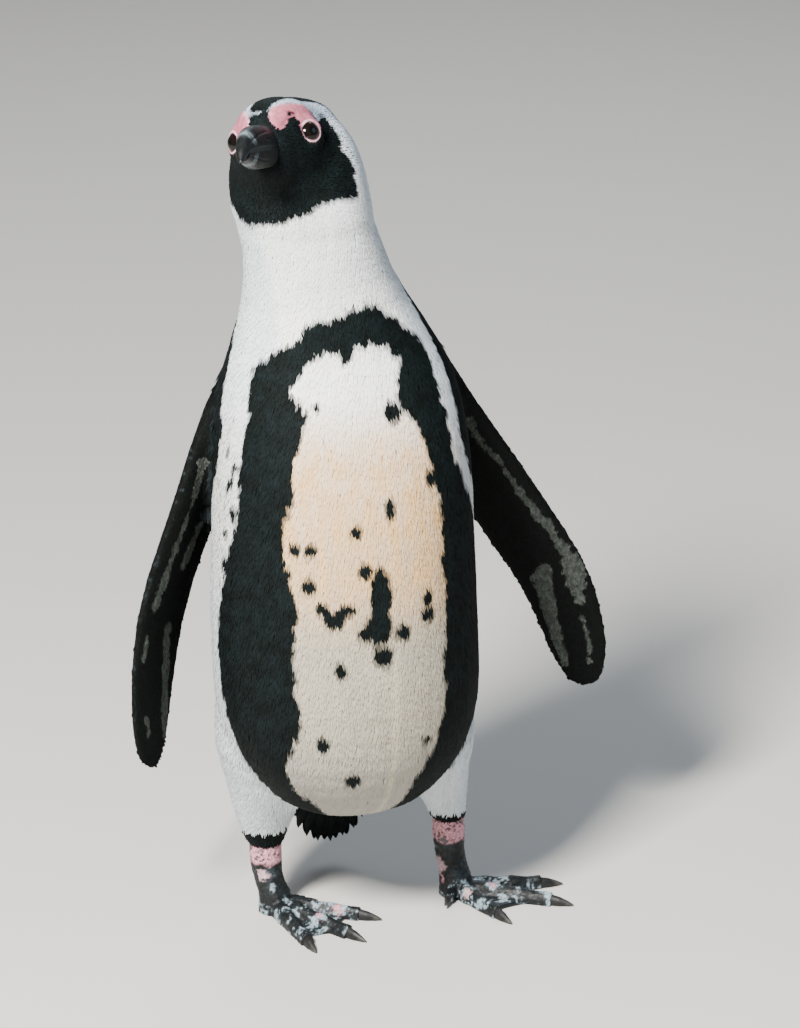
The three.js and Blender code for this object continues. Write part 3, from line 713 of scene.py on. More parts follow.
def headBlack(points):  # mask, crown and nape; the brow and the band behind the cheek stay pale
    forward, side, up = headMarkPlace(points)
    left = headPlace(points)[1] / mm
    side = side + 0.26 * ragged(points, 3)
    shift = 0.6 * ragged(points, 4)
    turn = np.degrees(np.arctan2(left, forward + 6))
    crown = (side < readRow(headMarks["crown"], forward)) & (up > -6)
    brow = (up > 3) & (side < readRow(headMarks["brow"], forward)) & (forward < 24)
    cheek, throat = readRow(headMarks["cheek"], up), readRow(headMarks["throat"], turn)
    mask = (forward > cheek + shift) & (up > throat + shift)
    at, wide, level, high = headMarks["flecks"]
    fleck = (grain(points, 0.0022, 9) > 0.5) & (np.abs(forward - at) < wide) & (np.abs(up - level) < high)
    at, slant, wide, middle, half = headMarks["line"]
    paleLine = (np.abs(forward - at + slant * side) < wide) & (np.abs(left - middle) < half) & (up > 5)
    return ((mask & ~brow) | crown | fleck) & ~paleLine


def whiteTint(points):
    # grey low on the belly, partly its own tone and partly painted shade, to white above, cream between 205
    # and 372 mm up, a warm line down the keel, painted bluish shade on the flanks and neck, painted
    # blue-grey shade over the brow, all in fine upright streaks
    angle, height = bodyPlace(points)
    height = height / mm
    streak = grain(points * np.array([1, 1, 0.22]), 0.0035, 11)
    warm = ease(372, 322, height) * ease(205, 262, height)
    tint = blend(tints["greyAndShade"], tints["white"], ease(215, 345, height))
    tint = blend(tint, tints["cream"], warm * (0.86 + 0.22 * streak))
    # painted shade low on the belly, over its own greyer tone
    tint = blend(tint, tints["lowGreyAndShade"], ease(170, 95, height) * 0.8)
    keel = bump(angle, 8.5 + 0.012 * (height - 150), 1.8) * ease(225, 195, height)
    tint = blend(tint, tints["keel"], keel * 0.35)
    # painted bluish shade on the flanks and, more lightly, round the neck
    flank = ease(42, 55, np.abs(angle))
    tint = blend(tint, tints["shadedBlueWhite"], np.maximum(flank * 0.8, ease(395, 440, height) * 0.3))
    _, side, up = headMarkPlace(points)
    # painted blue-grey shade over the pale brow
    brow = ease(0, 6, up) * ease(505, 515, height) * (1 - ease(24, 34, side))
    tint = blend(tint, tints["brow"], brow * 0.8)
    return tint * (1 + 0.07 * streak)[:, None]


# pale streaks under the flippers in millimetres: from along, across, to along, across, and half the width
flipperStreaks = {
    "flipper_left": [(56, 11, 76, 10, 2.6), (76, 10, 94, 15, 1.9), (94, 15, 120, 16, 1.5),
                     (120, 16, 142, 19, 1.8), (142, 19, 161, 22, 2.6), (161, 22, 182, 24, 3.0),
                     (190, 25, 208, 21, 6.5), (208, 20, 222, 18, 3.2), (237, 15, 257, 12, 1.3),
                     (257, 12, 270, 7, 1.0), (193, 6, 200, -2, 5), (200, 0, 222, -4, 6.2),
                     (222, -4, 268, -13, 4.6)],
    "flipper_right": [(56, 15, 78, 11, 2.6), (78, 11, 105, 12, 1.6), (105, 12, 126, 13, 2.2),
                      (126, 13, 150, 16, 3.2), (98, -6, 124, -2, 3.5), (165, -3, 173, -5, 3.5),
                      (173, -5, 199, -11, 4.2), (199, -11, 232, -16, 4.2), (170, 18, 185, 17, 1.6),
                      (222, 8, 230, 6, 1.8)],
}
# where the flippers' pale trailing edge starts, in millimetres along and across
trailingEdge = [(70, -60), (100, -26), (200, -25), (250, -19)]


def flipperTint(points, name):
    # black, with mottled pale streaks underneath and a pale trailing edge outside
    along, across, through = [v / mm for v in limbPlace(name, points)]
    under = through > np.interp(along, limbs[name]["along"] / mm, limbs[name]["middle"] / mm)
    wander = 1.5 * grain(points, 0.0042, 21) + 0.9 * grain(points, 0.0016, 22)
    pale = np.zeros(len(points))
    for a0, b0, a1, b1, half in flipperStreaks[name]:  # the distance to each streak's middle line
        long, wide = a1 - a0, b1 - b0
        t = np.clip(((along - a0) * long + (across - b0) * wide) / (long ** 2 + wide ** 2), 0, 1)
        apart = np.hypot(along - a0 - t * long, across - b0 - t * wide)
        pale = np.maximum(pale, 1 - ease(half - 0.5, half + 0.7, apart + wander))
    pale = pale * under * (0.75 + 0.35 * grain(points, 0.002, 23))
    tint = blend(np.broadcast_to(tints["flipper"], points.shape), tints["mottle"], pale)
    behind = grain(points, 0.0019, 24)
    tint = blend(tint, tints["backTip"], ease(0.0, 0.9, behind) * ~under * 0.8)
    edge = ~under & (across < readRow(trailingEdge, along))
    # the trailing edge takes the same white with painted bluish shade, a little darker
    return np.where(edge[:, None], tints["shadedBlueWhite"] * 0.8, tint)


def faceTint(points):  # pink skin, whiter towards the crown and on the lids
    forward, side, _ = headMarkPlace(points)
    rosy = ease(0.2, 3.4, side - readRow(headMarks["brow"], forward) + 1.2 * grain(points, 0.003, 31))
    tint = blend(np.broadcast_to(tints["pinkPale"], points.shape), tints["pink"], rosy)
    lid = 1 - ease(0.0072, 0.0088, eyeDistance(points))
    tint = blend(tint, tints["pinkPale"], lid * 0.6)
    return tint * (1 + 0.17 * grain(points, 0.0008, 32))[:, None]


# the places round a point that share in its mark, in metres, so that edges turn softly
softSteps = [(0, 0, 0), (0, 0, 0.0017), (0, 0, -0.0017), (0.0009, 0.0004, 0.0006),
             (-0.0009, -0.0004, -0.0006)]
# heights: the body's marks end at the first, and the head's begin at the second; behind this place
# forward the body's black runs on up the nape
markLevels = {"bodyTop": 0.505, "headLow": 0.462, "nape": -0.030}


def blackShare(points):  # the mean of the black marks over the places round each point
    total = np.zeros(len(points))
    for step in softSteps:
        moved = points + np.array(step)
        body = (moved[:, 2] <= markLevels["bodyTop"]) | (headPlace(moved)[0] < markLevels["nape"])
        head = moved[:, 2] > markLevels["headLow"]
        total += (body & bodyBlack(moved)) | (head & headBlack(moved))
    return total / len(softSteps)


def plumageTint(points, node):
    # white blended to black by the marks, the black with a painted blue sheen, a black ring above the
    # ankle, and the flippers' and the tail's own tints
    black = blackShare(points)
    ankle = (node >= fleshNodes.index("shank_right")) & (points[:, 2] / mm < 57 + ragged(points, 6))
    # a blue sheen is painted into the black in soft patches, a reflection painted into the colour
    blackWithSheen = blend(tints["black"], tints["paintedSheen"], 0.5 + 0.5 * grain(points, 0.005, 12))
    behind = ease(86, 104, np.abs(bodyPlace(points)[0])) * (1 - ease(0.500, 0.532, points[:, 2]))
    blackWithSheen = blend(blackWithSheen, tints["backTip"], behind * ease(-0.3, 0.9, grain(points, 0.0016, 13)) * 0.8)
    tint = blend(whiteTint(points), blackWithSheen, np.where(ankle, 1, black))
    for name in ("flipper_right", "flipper_left"):
        here = node == fleshNodes.index(name)
        tint[here] = flipperTint(points[here], name)
    along, _, through = limbPlace("tail", points)
    paleUnder = (through < 0) & (along / mm < 34 + 0.5 * ragged(points, 14))
    tint[(node == fleshNodes.index("tail")) & ~paleUnder] = tints["tail"]
    return tint


# one feather as a thin closed vane: how far along it each corner is, how far to the side, how far on top,
# and its faces
leaf = {
    "along": [0, 0.35, 0.35, 0.35, 0.8, 0.8, 0.8, 1], "side": [0, -1, 1, 0, -0.8, 0.8, 0, 0],
    "top": [0, 0, 0, 1, 0, 0, 1, 0.2],
    "faces": [(0, 1, 3), (0, 3, 2), (0, 2, 1), (1, 4, 6), (1, 6, 3), (3, 6, 5), (3, 5, 2), (2, 5, 4),
              (2, 4, 1), (4, 7, 6), (6, 7, 5), (5, 7, 4)],
}
bristle = {
    "along": [0, 0.55, 0.55, 0.55, 1], "side": [0, -1, 1, 0, 0], "top": [0, 0, 0, 1, 0.2],
    "faces": [(0, 1, 3), (0, 3, 2), (0, 2, 1), (1, 4, 3), (3, 4, 2), (2, 4, 1)],
}
coatColumns = ("vane", "spacing", "width", "thick", "twist", "jitter")
coats = {
    # vane; spacing, width and thickness in metres; twist in radians; how much the tint varies
    "head": (bristle, 0.00088, 0.00105, 0.00018, 0.16, 0.06),
    "neck": (bristle, 0.00108, 0.00165, 0.00018, 0.11, 0.035),
    "trunk": (bristle, 0.00126, 0.00185, 0.00020, 0.10, 0.04),
    "flipper": (bristle, 0.00114, 0.0016, 0.00020, 0.08, 0.05),
    "shank": (bristle, 0.0012, 0.0015, 0.00022, 0.15, 0.05),
    "tail": (leaf, 0.0021, 0.0034, 0.00034, 0.10, 0.05),
}
coats = {kind: dict(zip(coatColumns, row)) for kind, row in coats.items()}
featherSizes = {
    # on the body: height, length, lift
    "body": [(0.045, 0.0050, 0.0010), (0.07, 0.0080, 0.0013), (0.20, 0.0088, 0.0014),
             (0.36, 0.0082, 0.0013), (0.42, 0.0068, 0.0011), (0.47, 0.0054, 0.0009),
             (0.53, 0.0043, 0.0008)],
    # on the head: how far forward, length, lift
    "face": [(-0.040, 0.0046, 0.0012), (-0.015, 0.0036, 0.0010), (0.010, 0.0026, 0.0008),
             (0.026, 0.0021, 0.0006), (0.036, 0.0016, 0.0005)],
    # on the flippers: length and lift at the tip, and how much more there is of each further in
    "flipper": (0.0017, 0.0013, 0.00020, 0.00025),
    # on the tail: times the body's length, and lift; its small feathers reach this far down it
    "tail": (1.5, 0.0016), "tailEnd": 0.046,
    # random scaling: the spread of lengths, and the least lift and the range above it
    "lengthSpread": 0.14, "leastLift": 0.8, "liftRange": 0.4,
    # half the width and the length of each feather's patch of the map
    "patchWide": 0.0014, "patchLong": 0.0028,
}


def vaneSize(kind, points):  # the length and the lift of a feather rooted at each point
    body = np.array([readRow(featherSizes["body"], points[:, 2], k) for k in (1, 2)])
    if kind == "head":  # the face's sizes turn into the body's at the throat; small and flat by the eyes
        forward, _, up = headPlace(points)
        face = np.array([readRow(featherSizes["face"], forward, k) for k in (1, 2)])
        length, lift = face + (body - face) * (1 - ease(-0.056, -0.034, up))
        clear = ease(0.0085, 0.0130, eyeDistance(points))
        return length * (0.5 + 0.5 * clear), lift * clear
    if kind == "flipper":
        name = "flipper_left" if points[:, 0].mean() > 0 else "flipper_right"
        inside = ease(0.002, 0.016, limbs[name]["length"] - limbPlace(name, points)[0])
        length, longer, lift, higher = featherSizes["flipper"]
        return length + longer * inside, lift + higher * inside
    if kind == "tail":
        times, lift = featherSizes["tail"]
        return body[0] * times, np.full(len(points), lift)
    return body


def scatterRoots(skin, chosen, spacing, rng):
    # each quad gets its area over the spacing squared, rounded up or down at random, and a root's place,
    # normal and lie are blended from the quad's corners
    quads = skin["quads"][chosen]
    area = np.linalg.norm(faceWays(skin["points"], quads), axis=1) / 2
    count = np.floor(area / spacing ** 2 + rng.random(len(quads))).astype(int)
    quad = np.repeat(quads, count, 0)
    a, b = rng.random((2, len(quad), 1))
    shares = [(1 - a) * (1 - b), a * (1 - b), a * b, (1 - a) * b]

    def mixed(values):
        return sum(values[quad[:, k]] * share for k, share in enumerate(shares))

    normal = unit(mixed(skin["normals"]))
    lie = mixed(skin["lie"])
    lie = unit(lie - dot(lie, normal)[:, None] * normal)
    return mixed(skin["points"]), normal, lie, mixed(skin["bend"][:, None])[:, 0], skin["node"][quad[:, 0]]


def rootFeathers(kind, skin, chosen, rng):
    # where each feather stands and which way it runs; none grow on bare skin
    root, normal, lie, bend, node = scatterRoots(skin, chosen, coats[kind]["spacing"], rng)
    length, lift = vaneSize(kind, root)
    grown = ~bareFace(root + lie * length[:, None] * 0.5) & ~bareFace(root)
    root, normal, lie, bend, node = [v[grown] for v in (root, normal, lie, bend, node)]
    length, lift = length[grown], lift[grown]
    scale = 1 + featherSizes["lengthSpread"] * rng.standard_normal(len(root)).clip(-2, 2)
    twist = coats[kind]["twist"] * rng.standard_normal(len(root))
    lie = lie * np.cos(twist)[:, None] + np.cross(normal, lie) * np.sin(twist)[:, None]
    lift = lift * (featherSizes["leastLift"] + featherSizes["liftRange"] * rng.random(len(root)))
    return root, normal, lie, bend, node, length * scale, lift, scale


def featherTints(tip, node, along, jitter, rng):
    # the marks at each feather's tip, varied from feather to feather, with painted shade darker towards the
    # root where feathers overlap, and black feathers paler at the tip
    colour = plumageTint(tip, node)
    dark = 1 - ease(0.02, 0.15, colour.mean(1, keepdims=True))
    colour = colour * (1 + jitter * (1 + 3 * dark) * rng.standard_normal((len(tip), 1)).clip(-1.8, 1.8))
    # painted shade towards the root, where feathers overlap; black feathers also get paler tips
    rootShade = ease(0.1, 0.8, along)
    rootShade = 0.84 + 0.16 * rootShade + dark * (0.45 * rootShade - 0.25)
    return (colour[:, None] * rootShade[..., None]).reshape(-1, 3)


def growCoat(name, kind, skin, chosen, unwrap, seed):
    # corner = root + lie * length * t + side * width / 2 * s
    #        + normal * (lift * t + thickness * u - bend * (length * t)² / 2)
    dial = coats[kind]
    vane = {key: np.array(value, float) for key, value in dial["vane"].items()}
    along = vane["along"]
    rng = np.random.default_rng(seed)
    root, normal, lie, bend, node, length, lift, scale = rootFeathers(kind, skin, chosen, rng)
    side = np.cross(normal, lie)
    reach = length[:, None] * along
    rise = lift[:, None] * along + dial["thick"] * vane["top"] - bend[:, None] * reach ** 2 / 2
    across = dial["width"] / 2 * scale[:, None] * vane["side"]
    corners = (root[:, None] + lie[:, None] * reach[..., None] + side[:, None] * across[..., None]
               + normal[:, None] * rise[..., None])
    colour = featherTints(root + lie * reach[:, -1:] * 0.8, node, along, dial["jitter"], rng)
    faces = (np.arange(len(root))[:, None, None] * len(along) + vane["faces"].astype(int)).reshape(-1, 3)
    piece = makePiece(name, corners.reshape(-1, 3), [faces], feather, colour)
    # light falls on a feather as on the skin, turned a little to each side and towards the tip
    facing = unit(normal[:, None] + (lie * bend[:, None])[:, None] * reach[..., None]
                  + side[:, None] * vane["side"][:, None] * 0.30
                  + lie[:, None] * (0.22 * (along - 0.6))[:, None])
    piece.data.normals_split_custom_set_from_vertices(facing.reshape(-1, 3).astype(np.float32))
    u, v = [value[:, None] for value in unwrap(root)]
    patch = np.stack([u + featherSizes["patchWide"] * vane["side"],
                      v + featherSizes["patchLong"] * (along - 0.5)], -1)
    setMap(piece, faces.ravel(), patch.reshape(-1, 2))
    print(name, len(root), "feathers,", len(faces), "triangles")


def within(low, high, value):  # squeezes a range into the middle of 0 to 1
    return 0.02 + 0.96 * np.clip((value - low) / (high - low), 0, 1)


underside = {"from": 0.150, "gain": 0.080}  # below this height the body's map turns in under the belly


def unwrapBody(low, high):
    # degrees round the middle line, and height, less the angle in under the belly
    def place(points):
        angle, height = bodyPlace(points)
        under = np.arctan2(underside["from"] - height, np.hypot(*offMiddleLine(points)))
        level = np.where(height < underside["from"], underside["from"] - underside["gain"] * under, height)
        return within(-180, 180, angle), within(low, high, level)

    return place


def unwrapHead(points):  # degrees round the head and up it, seen from 12 mm behind and below the eyes
    forward, left, up = headPlace(points)
    forward, up = forward + 0.012, up + 0.012
    turn = np.degrees(np.arctan2(left, forward))
    return within(-180, 180, turn), within(-80, 91, np.degrees(np.arctan2(up, np.hypot(left, forward))))


def unwrapLimb(name):  # degrees round the limb, which is flat, and along it
    def place(points):
        along, across, through = limbPlace(name, points)
        turn = np.degrees(np.arctan2(through * 2.5, across))
        return within(-180, 180, turn), within(-0.01, limbs[name]["length"] + 0.01, along)

    return place


shankMiddle = {"left": (0.0525, 0.022), "right": (-0.0655, 0.022)}


def unwrapShank(points):  # degrees round the shank's own middle, and height
    x, y = shankMiddle["left" if points[:, 0].mean() > 0 else "right"]
    turn = np.degrees(np.arctan2(points[:, 0] - x, -(points[:, 1] - y)))
    return within(-180, 180, turn), within(0.03, 0.125, points[:, 2])


def growCoats(skin):  # one coat for each flesh node, and five for the trunk, of equal shares of its quads
    nodes = skin["node"][skin["quads"][:, 0]]
    height = skin["points"][skin["quads"]].mean(1)[:, 2]
    over = {name: nodes == fleshNodes.index(name) for name in fleshNodes}
    growCoat("coat_head", "head", skin, over["head"], unwrapHead, 11)
    growCoat("coat_neck", "neck", skin, over["neck"], unwrapBody(0.39, 0.50), 12)
    levels = np.quantile(height[over["trunk"]], [0, 0.2, 0.4, 0.6, 0.8, 1])
    for i, (low, high) in enumerate(zip(levels, levels[1:])):
        band = over["trunk"] & (height >= low) & (height < high if i < 4 else True)
        unwrap = unwrapBody(low - 0.04 if i == 0 else low, high)
        growCoat(f"coat_trunk_{i + 1}", "trunk", skin, band, unwrap, 20 + i)
    for i, side in enumerate(("right", "left")):
        flipper, shank = "flipper_" + side, "shank_" + side
        growCoat("coat_" + flipper, "flipper", skin, over[flipper], unwrapLimb(flipper),
                 30 + i)
        growCoat("coat_" + shank, "shank", skin, over[shank], unwrapShank, 40 + i)
    along = limbPlace("tail", skin["points"][skin["quads"][:, 0]])[0]
    root = over["tail"] & (along < featherSizes["tailEnd"])
    growCoat("coat_tail", "tail", skin, root, unwrapLimb("tail"), 50)


tailDial = {
    # how many above and below, how far they fan out in radians, where they start, the longest reach, how
    # much shorter the outermost are, and how much a length varies
    "above": 10, "below": 9, "fan": 0.34, "start": 0.022, "reach": 0.0985, "wedge": 0.030, "varies": 0.0008,
    "width": 0.0118, "thick": 0.00045, "rachis": 0.00045, "steps": 26, "across": 10,
    # how far apart they start, how deep they start in the tail, how far they arch down at their sides,
    # how far the middle ones lie over the outer ones and how deep all lie
    "apart": 0.008, "sunk": 0.0030, "arch": 0.0013, "order": 0.0022, "deep": 0.0012,
    # the tail's faces round off to its sides, and near its end the blades come together in its middle
    "rounding": 0.0016, "halfTail": 0.03, "meets": (0.060, 0.094), "meetShare": 0.8,
}


def tailFeather(turn, above, rng):
    # a blade that fans out by this turn on the tail's upper or lower face: its width rises and narrows to
    # a rounded tip as the root of 1 - t⁵, its sides arch down, and a ridge runs along its middle
    dial = tailDial
    limb = limbs["tail"]
    way = 1 if above else -1
    t = np.linspace(0, 1, dial["steps"])[:, None]
    s = np.linspace(-1, 1, dial["across"] + 1)
    length = dial["reach"] - dial["start"] - dial["wedge"] * abs(turn / dial["fan"]) ** 2
    length = length + rng.normal(0, dial["varies"])
    half = dial["width"] / 2 * (0.6 + 0.4 * np.sin(np.pi * np.minimum(t * 0.9 + 0.12, 1)))
    half = half * np.sqrt(1 - t ** 5 * 0.995)
    fray = 1 + 0.05 * rng.standard_normal((dial["steps"], dial["across"] + 1)) * np.abs(s) * ease(0.4, 1, t)
    along = dial["start"] + length * t * np.cos(turn) * np.ones_like(s)
    across = length * t * np.sin(turn) + dial["apart"] * turn / dial["fan"] + half * s * fray
    ground = np.interp(along, limb["along"], limb["top"] if above else limb["bottom"])
    ground = ground - way * dial["rounding"] * (np.abs(across) / dial["halfTail"]) ** 2
    middle = np.interp(along, limb["along"], limb["middle"])
    ground = ground + (middle - ground) * dial["meetShare"] * ease(*dial["meets"], along)
    order = dial["order"] * (1 - abs(turn) / dial["fan"]) * (1 if above else 0.7)
    sunk = dial["sunk"] * (1 - ease(0.0, 0.45, t))
    high = ground + way * (order - dial["deep"] - sunk - dial["arch"] * s ** 2 * ease(0, 0.3, t))
    ridge = way * dial["rachis"] * bump(s, 0, 0.12) * (1 - 0.7 * t)
    thick = way * dial["thick"] * np.sqrt(np.clip(1 - (s * 0.98) ** 2, 0, 1))

    def around(upper, lower):  # the upper face's values across each ring, then the lower face's back again
        return np.concatenate([upper, lower[:, -2:0:-1]], 1)

    along, across, aside = [around(v, v) for v in (along + limb["start"], across, s + 0 * high)]
    places = np.stack([along, across, around(high + thick + ridge, high)], -1)
    points, faces = closedTube(limb["centre"] + places @ np.array(limb["ways"]))
    aside = np.append(aside.ravel(), [0, 0])
    down = np.append(np.broadcast_to(t, places.shape[:2]).ravel(), [0, 1])
    barbs = grain(np.stack([down * 50 - np.abs(aside) * 6, aside * 2, 0 * aside + turn * 40], -1), 1, 51)
    colour = tints["tail"] * (1 + 0.35 * barbs)[:, None]
    colour = blend(colour, tints["backTip"], 0.7 * bump(aside, 0, 0.10) * (1 - down))
    return points, faces, colour, np.stack([aside, down], -1)


def growTailFeathers():
    # the blades of each face from the outermost to the middle, all in one piece, each in its own lane of
    # the map
    rng = np.random.default_rng(60)
    blades = []
    for above in (True, False):
        turns = np.linspace(-1, 1, tailDial["above"] if above else tailDial["below"])
        for turn in turns[np.argsort(-np.abs(turns))]:
            blades.append(tailFeather(turn * tailDial["fan"], above, rng))
    points, quads = joined([(b[0], b[1][0]) for b in blades])
    caps = joined([(b[0], b[1][1]) for b in blades])[1]
    colours = np.concatenate([b[2] for b in blades])
    piece = makePiece("coat_tail_feathers", points, [quads, caps], feather, colours)
    lane = np.repeat(np.arange(len(blades)), [len(b[0]) for b in blades])
    aside, down = np.concatenate([b[3] for b in blades]).T
    places = np.stack([(lane + 0.5 + 0.42 * aside) / len(blades), 0.02 + 0.96 * down], -1)
    setMap(piece, np.concatenate([quads.ravel(), caps.ravel()]), places)
    print("tail feathers", len(blades))


eyeDial = {
    # the way an eye looks, as shares of aside, forward and up
    "gaze": (0.78, 0.60, 0.15),
    # rings and corners of the ball; how far from its axis the pupil and the iris end, and half their soft
    # edges
    "rings": 64, "corners": 72, "pupil": 0.0031, "pupilEdge": 2e-4, "iris": 0.0050, "irisEdge": 4e-4,
    "black": (0.001, 0.001, 0.001), "brown": (0.0044, 0.0023, 0.0015), "rim": (0.002, 0.0018, 0.0018),
}
lidDial = {
    # how far from the eye's axis, how far out, thickness, and how far drawn out and sunk towards the bill
    "radius": 0.0062, "level": 0.0047, "thick": 0.00074, "drawn": 0.14, "sinks": 0.0011,
    "beads": 42, "beadSize": 0.08, "count": 288, "around": 20,
}


def eyeAxes(side):  # outward, and two ways across it: towards the bill and up
    aside, ahead, over = eyeDial["gaze"]
    outward = unit(headLeft * aside * (1 if side == "left" else -1) + headForward * ahead + headUp * over)
    bill = unit(headForward - outward * (headForward @ outward))
    return outward, bill, np.cross(outward, bill) * np.sign(np.cross(outward, bill) @ headUp)


def fromEye(side, out, away, turn):
    # places so far out along the gaze, and so far away from it at this turn from the bill's side
    outward, bill, up = eyeAxes(side)
    return (eyeCentre[side] + out[..., None] * outward + (away * np.cos(turn))[..., None] * bill
            + (away * np.sin(turn))[..., None] * up)


def fromGaze(side, points):  # how far each point is from the axis of the eye
    offset, outward = points - eyeCentre[side], eyeAxes(side)[0]
    return np.linalg.norm(offset - (offset @ outward)[:, None] * outward, axis=1)


def eyeball(side):
    # rings round the gaze, closest together in front, with a slight bulge of the cornea
    dial = eyeDial
    tilt = np.pi * (np.linspace(0.012, 0.995, dial["rings"]) ** 1.25)[:, None]
    turn = np.linspace(0, 2 * np.pi, dial["corners"], endpoint=False)
    radius = eyeRadius * (0.985 + 0.03 * bump(tilt, 0, 0.6))
    out = radius * np.cos(tilt) * np.ones_like(turn)
    points, faces = closedTube(fromEye(side, out, radius * np.sin(tilt), turn))
    away = fromGaze(side, points)
    streaks = grain(unit(points - eyeCentre[side]) * 0.02, 0.0011, 61)
    brown = np.array(dial["brown"]) * (1 + 0.5 * streaks)[:, None]
    pupil = ease(dial["pupil"] - dial["pupilEdge"], dial["pupil"] + dial["pupilEdge"], away)
    iris = ease(dial["iris"] - dial["irisEdge"], dial["iris"] + dial["irisEdge"], away)
    colour = blend(blend(np.array(dial["black"]), brown, pupil), np.array(dial["rim"]), iris)
    makePiece("eyeball_" + side, points, faces, wetEye, colour, ["eye_" + side])


def lids(side):
    # a ring of small beads round the opening, drawn out a little towards the bill, thinner below
    dial = lidDial
    turn = np.linspace(0, 2 * np.pi, dial["count"], endpoint=False)[:, None]
    girth = np.linspace(0, 2 * np.pi, dial["around"], endpoint=False)
    drawn = np.maximum(np.cos(turn), 0) ** 3
    bead = 1 + dial["beadSize"] * np.cos(turn * dial["beads"]) + 0.05 * np.sin(turn * 7 + 1)
    thick = dial["thick"] * bead * (1 + 0.12 * np.sin(turn))
    radius = dial["radius"] * (1 + dial["drawn"] * drawn) + thick * 1.25 * np.cos(girth)
    level = dial["level"] - dial["sinks"] * drawn + thick * 0.85 * np.sin(girth)
    points = fromEye(side, level, radius, turn).reshape(-1, 3)
    i = np.arange(dial["count"])[:, None] * dial["around"]
    j = np.roll(i, -1, 0)
    k = np.arange(dial["around"])
    l = np.roll(k, -1)
    quads = np.stack([i + k, i + l, j + l, j + k], -1).reshape(-1, 4)
    # outward faces lean away from the axis outside the ring's own radius, and towards it inside
    middle = points[quads].mean(1)
    outward = eyeAxes(side)[0]
    out = middle - eyeCentre[side] - ((middle - eyeCentre[side]) @ outward)[:, None] * outward
    if (dot(faceWays(points, quads), out) * (np.linalg.norm(out, axis=1) - dial["radius"])).sum() < 0:
        quads = quads[:, ::-1]
    inner = 1 - ease(-0.7, 0.3, np.tile(np.cos(girth), dial["count"]))
    colour = blend(np.broadcast_to(tints["pinkPale"], points.shape), tints["pink"] * 0.35, inner)
    colour = colour * (0.9 + 0.14 * np.repeat(bead.ravel(), dial["around"]))[:, None]
    makePiece("lids_" + side, points, [quads], lidSkin, colour)


billDial = {
    "start": 0.0332, "inside": 0.0030, "length": 0.057, "roundness": 2.3, "lowerShare": 0.86, "gap": 0.0001,
    # share of the length; millimetres half wide; heights of the ridge, the cutting edge and the keel
    "sections": [(0, 8.8, 3.6, -10, -21.5), (0.25, 7.8, 3.4, -10.6, -22.6), (0.5, 6.8, 2.4, -11.4, -22.8),
                 (0.7, 5.7, -0.6, -12.4, -21.4), (0.85, 4.3, -6.2, -13.8, -18.8),
                 (0.94, 2.9, -12, -17, -18), (1, 1, -18.4, -20.2, -20)],
    "rings": 150, "arch": 64, "floor": 12,
    # metres deep: the groove along the ridge, the slanting furrows and where along the bill they are, and
    # the nostril
    "ridgeGroove": 0.00065, "keelGroove": 0.00030, "sulci": 0.00042, "sulciAt": (0.50, 0.565, 0.625, 0.685),
    "nostrilDepth": 0.0014, "nostrilAt": 0.265, "lip": 0.00018, "swell": 0.00035,
    "black": (0.0036, 0.0044, 0.0048), "band": (0.15, 0.185, 0.20), "edge": (0.035, 0.048, 0.054),
}


def nostrilRise(share):  # the nostril is a slit that slants up towards the tip
    return 0.40 + 0.5 * (share - billDial["nostrilAt"])


def billRelief(share, rise, upper):
    # metres to sink below the smooth arch; rise is 0 at the cutting edge and 1 at the ridge or keel
    dial = billDial
    slant = share - 0.10 * rise
    groove = bump(rise, 0.66 - 0.18 * ease(0.2, 0.9, share), 0.045)
    groove = groove * ease(0.16, 0.26, share) * (1 - ease(0.8, 0.9, share))
    sulci = sum(bump(slant, at, 0.0085) for at in dial["sulciAt"])
    sulci = dial["sulci"] * sulci * ease(0.08, 0.3, rise) * (1 - ease(0.75, 0.98, rise))
    lip = dial["lip"] * bump(rise, 0.08, 0.05)
    if not upper:
        return dial["keelGroove"] * groove + sulci * 0.8 - lip
    nostril = bump(share, dial["nostrilAt"], 0.058) * bump(rise, nostrilRise(share), 0.055)
    swell = dial["swell"] * bump(share, 0.255, 0.10) * bump(rise, 0.58, 0.13)
    return dial["ridgeGroove"] * groove + sulci + dial["nostrilDepth"] * nostril - lip - swell


def billHalf(name, upper):
    # each ring is a rounded arch from cutting edge to cutting edge over the ridge (or keel), then back
    # along the floor
    dial = billDial
    way = 1 if upper else -1
    reach = 1 if upper else dial["lowerShare"]
    first = -dial["inside"] / dial["length"]
    share = first + (reach - first) * np.sin(np.linspace(0, 1, dial["rings"]) * np.pi / 2) ** 0.85
    side, ridge, edge, keel = [smoothRow(dial["sections"], np.maximum(share, 0), k)[:, None] * mm
                               for k in (1, 2, 3, 4)]
    edge = edge + way * dial["gap"] / 2
    top = ridge if upper else keel
    turn = np.linspace(0, np.pi, dial["arch"])
    power = 2 / dial["roundness"]
    across = np.sign(np.cos(turn)) * np.abs(np.cos(turn)) ** power
    rise = np.abs(np.sin(turn)) ** power
    sink = billRelief(share[:, None], rise[None], upper) * ease(1.0, 0.93, share / reach)[:, None]
    height = edge + (top - edge) * rise - way * np.sin(turn) * sink
    arch = np.stack([side * across - np.cos(turn) * sink, height], -1)
    back = np.linspace(0, 1, dial["floor"] + 2)[1:-1]
    floor = np.stack([arch[:, -1:, 0] + (arch[:, :1, 0] - arch[:, -1:, 0]) * back, edge + 0 * back], -1)
    ring = np.concatenate([arch, floor], 1)
    along = dial["start"] + dial["length"] * share[:, None]
    points, faces = closedTube(fromHead(along + 0 * ring[..., 0], ring[..., 0], ring[..., 1]))
    rises = np.concatenate([np.broadcast_to(rise, arch.shape[:2]), np.zeros(floor.shape[:2])], 1).ravel()
    shares = np.broadcast_to(share[:, None], ring.shape[:2]).ravel()
    rises, shares = np.append(rises, [0, 0]), np.append(shares, [first, reach])
    makePiece(name, points, faces, billHorn, billTint(points, shares, rises, upper),
              ["bill_" + name[5:]])


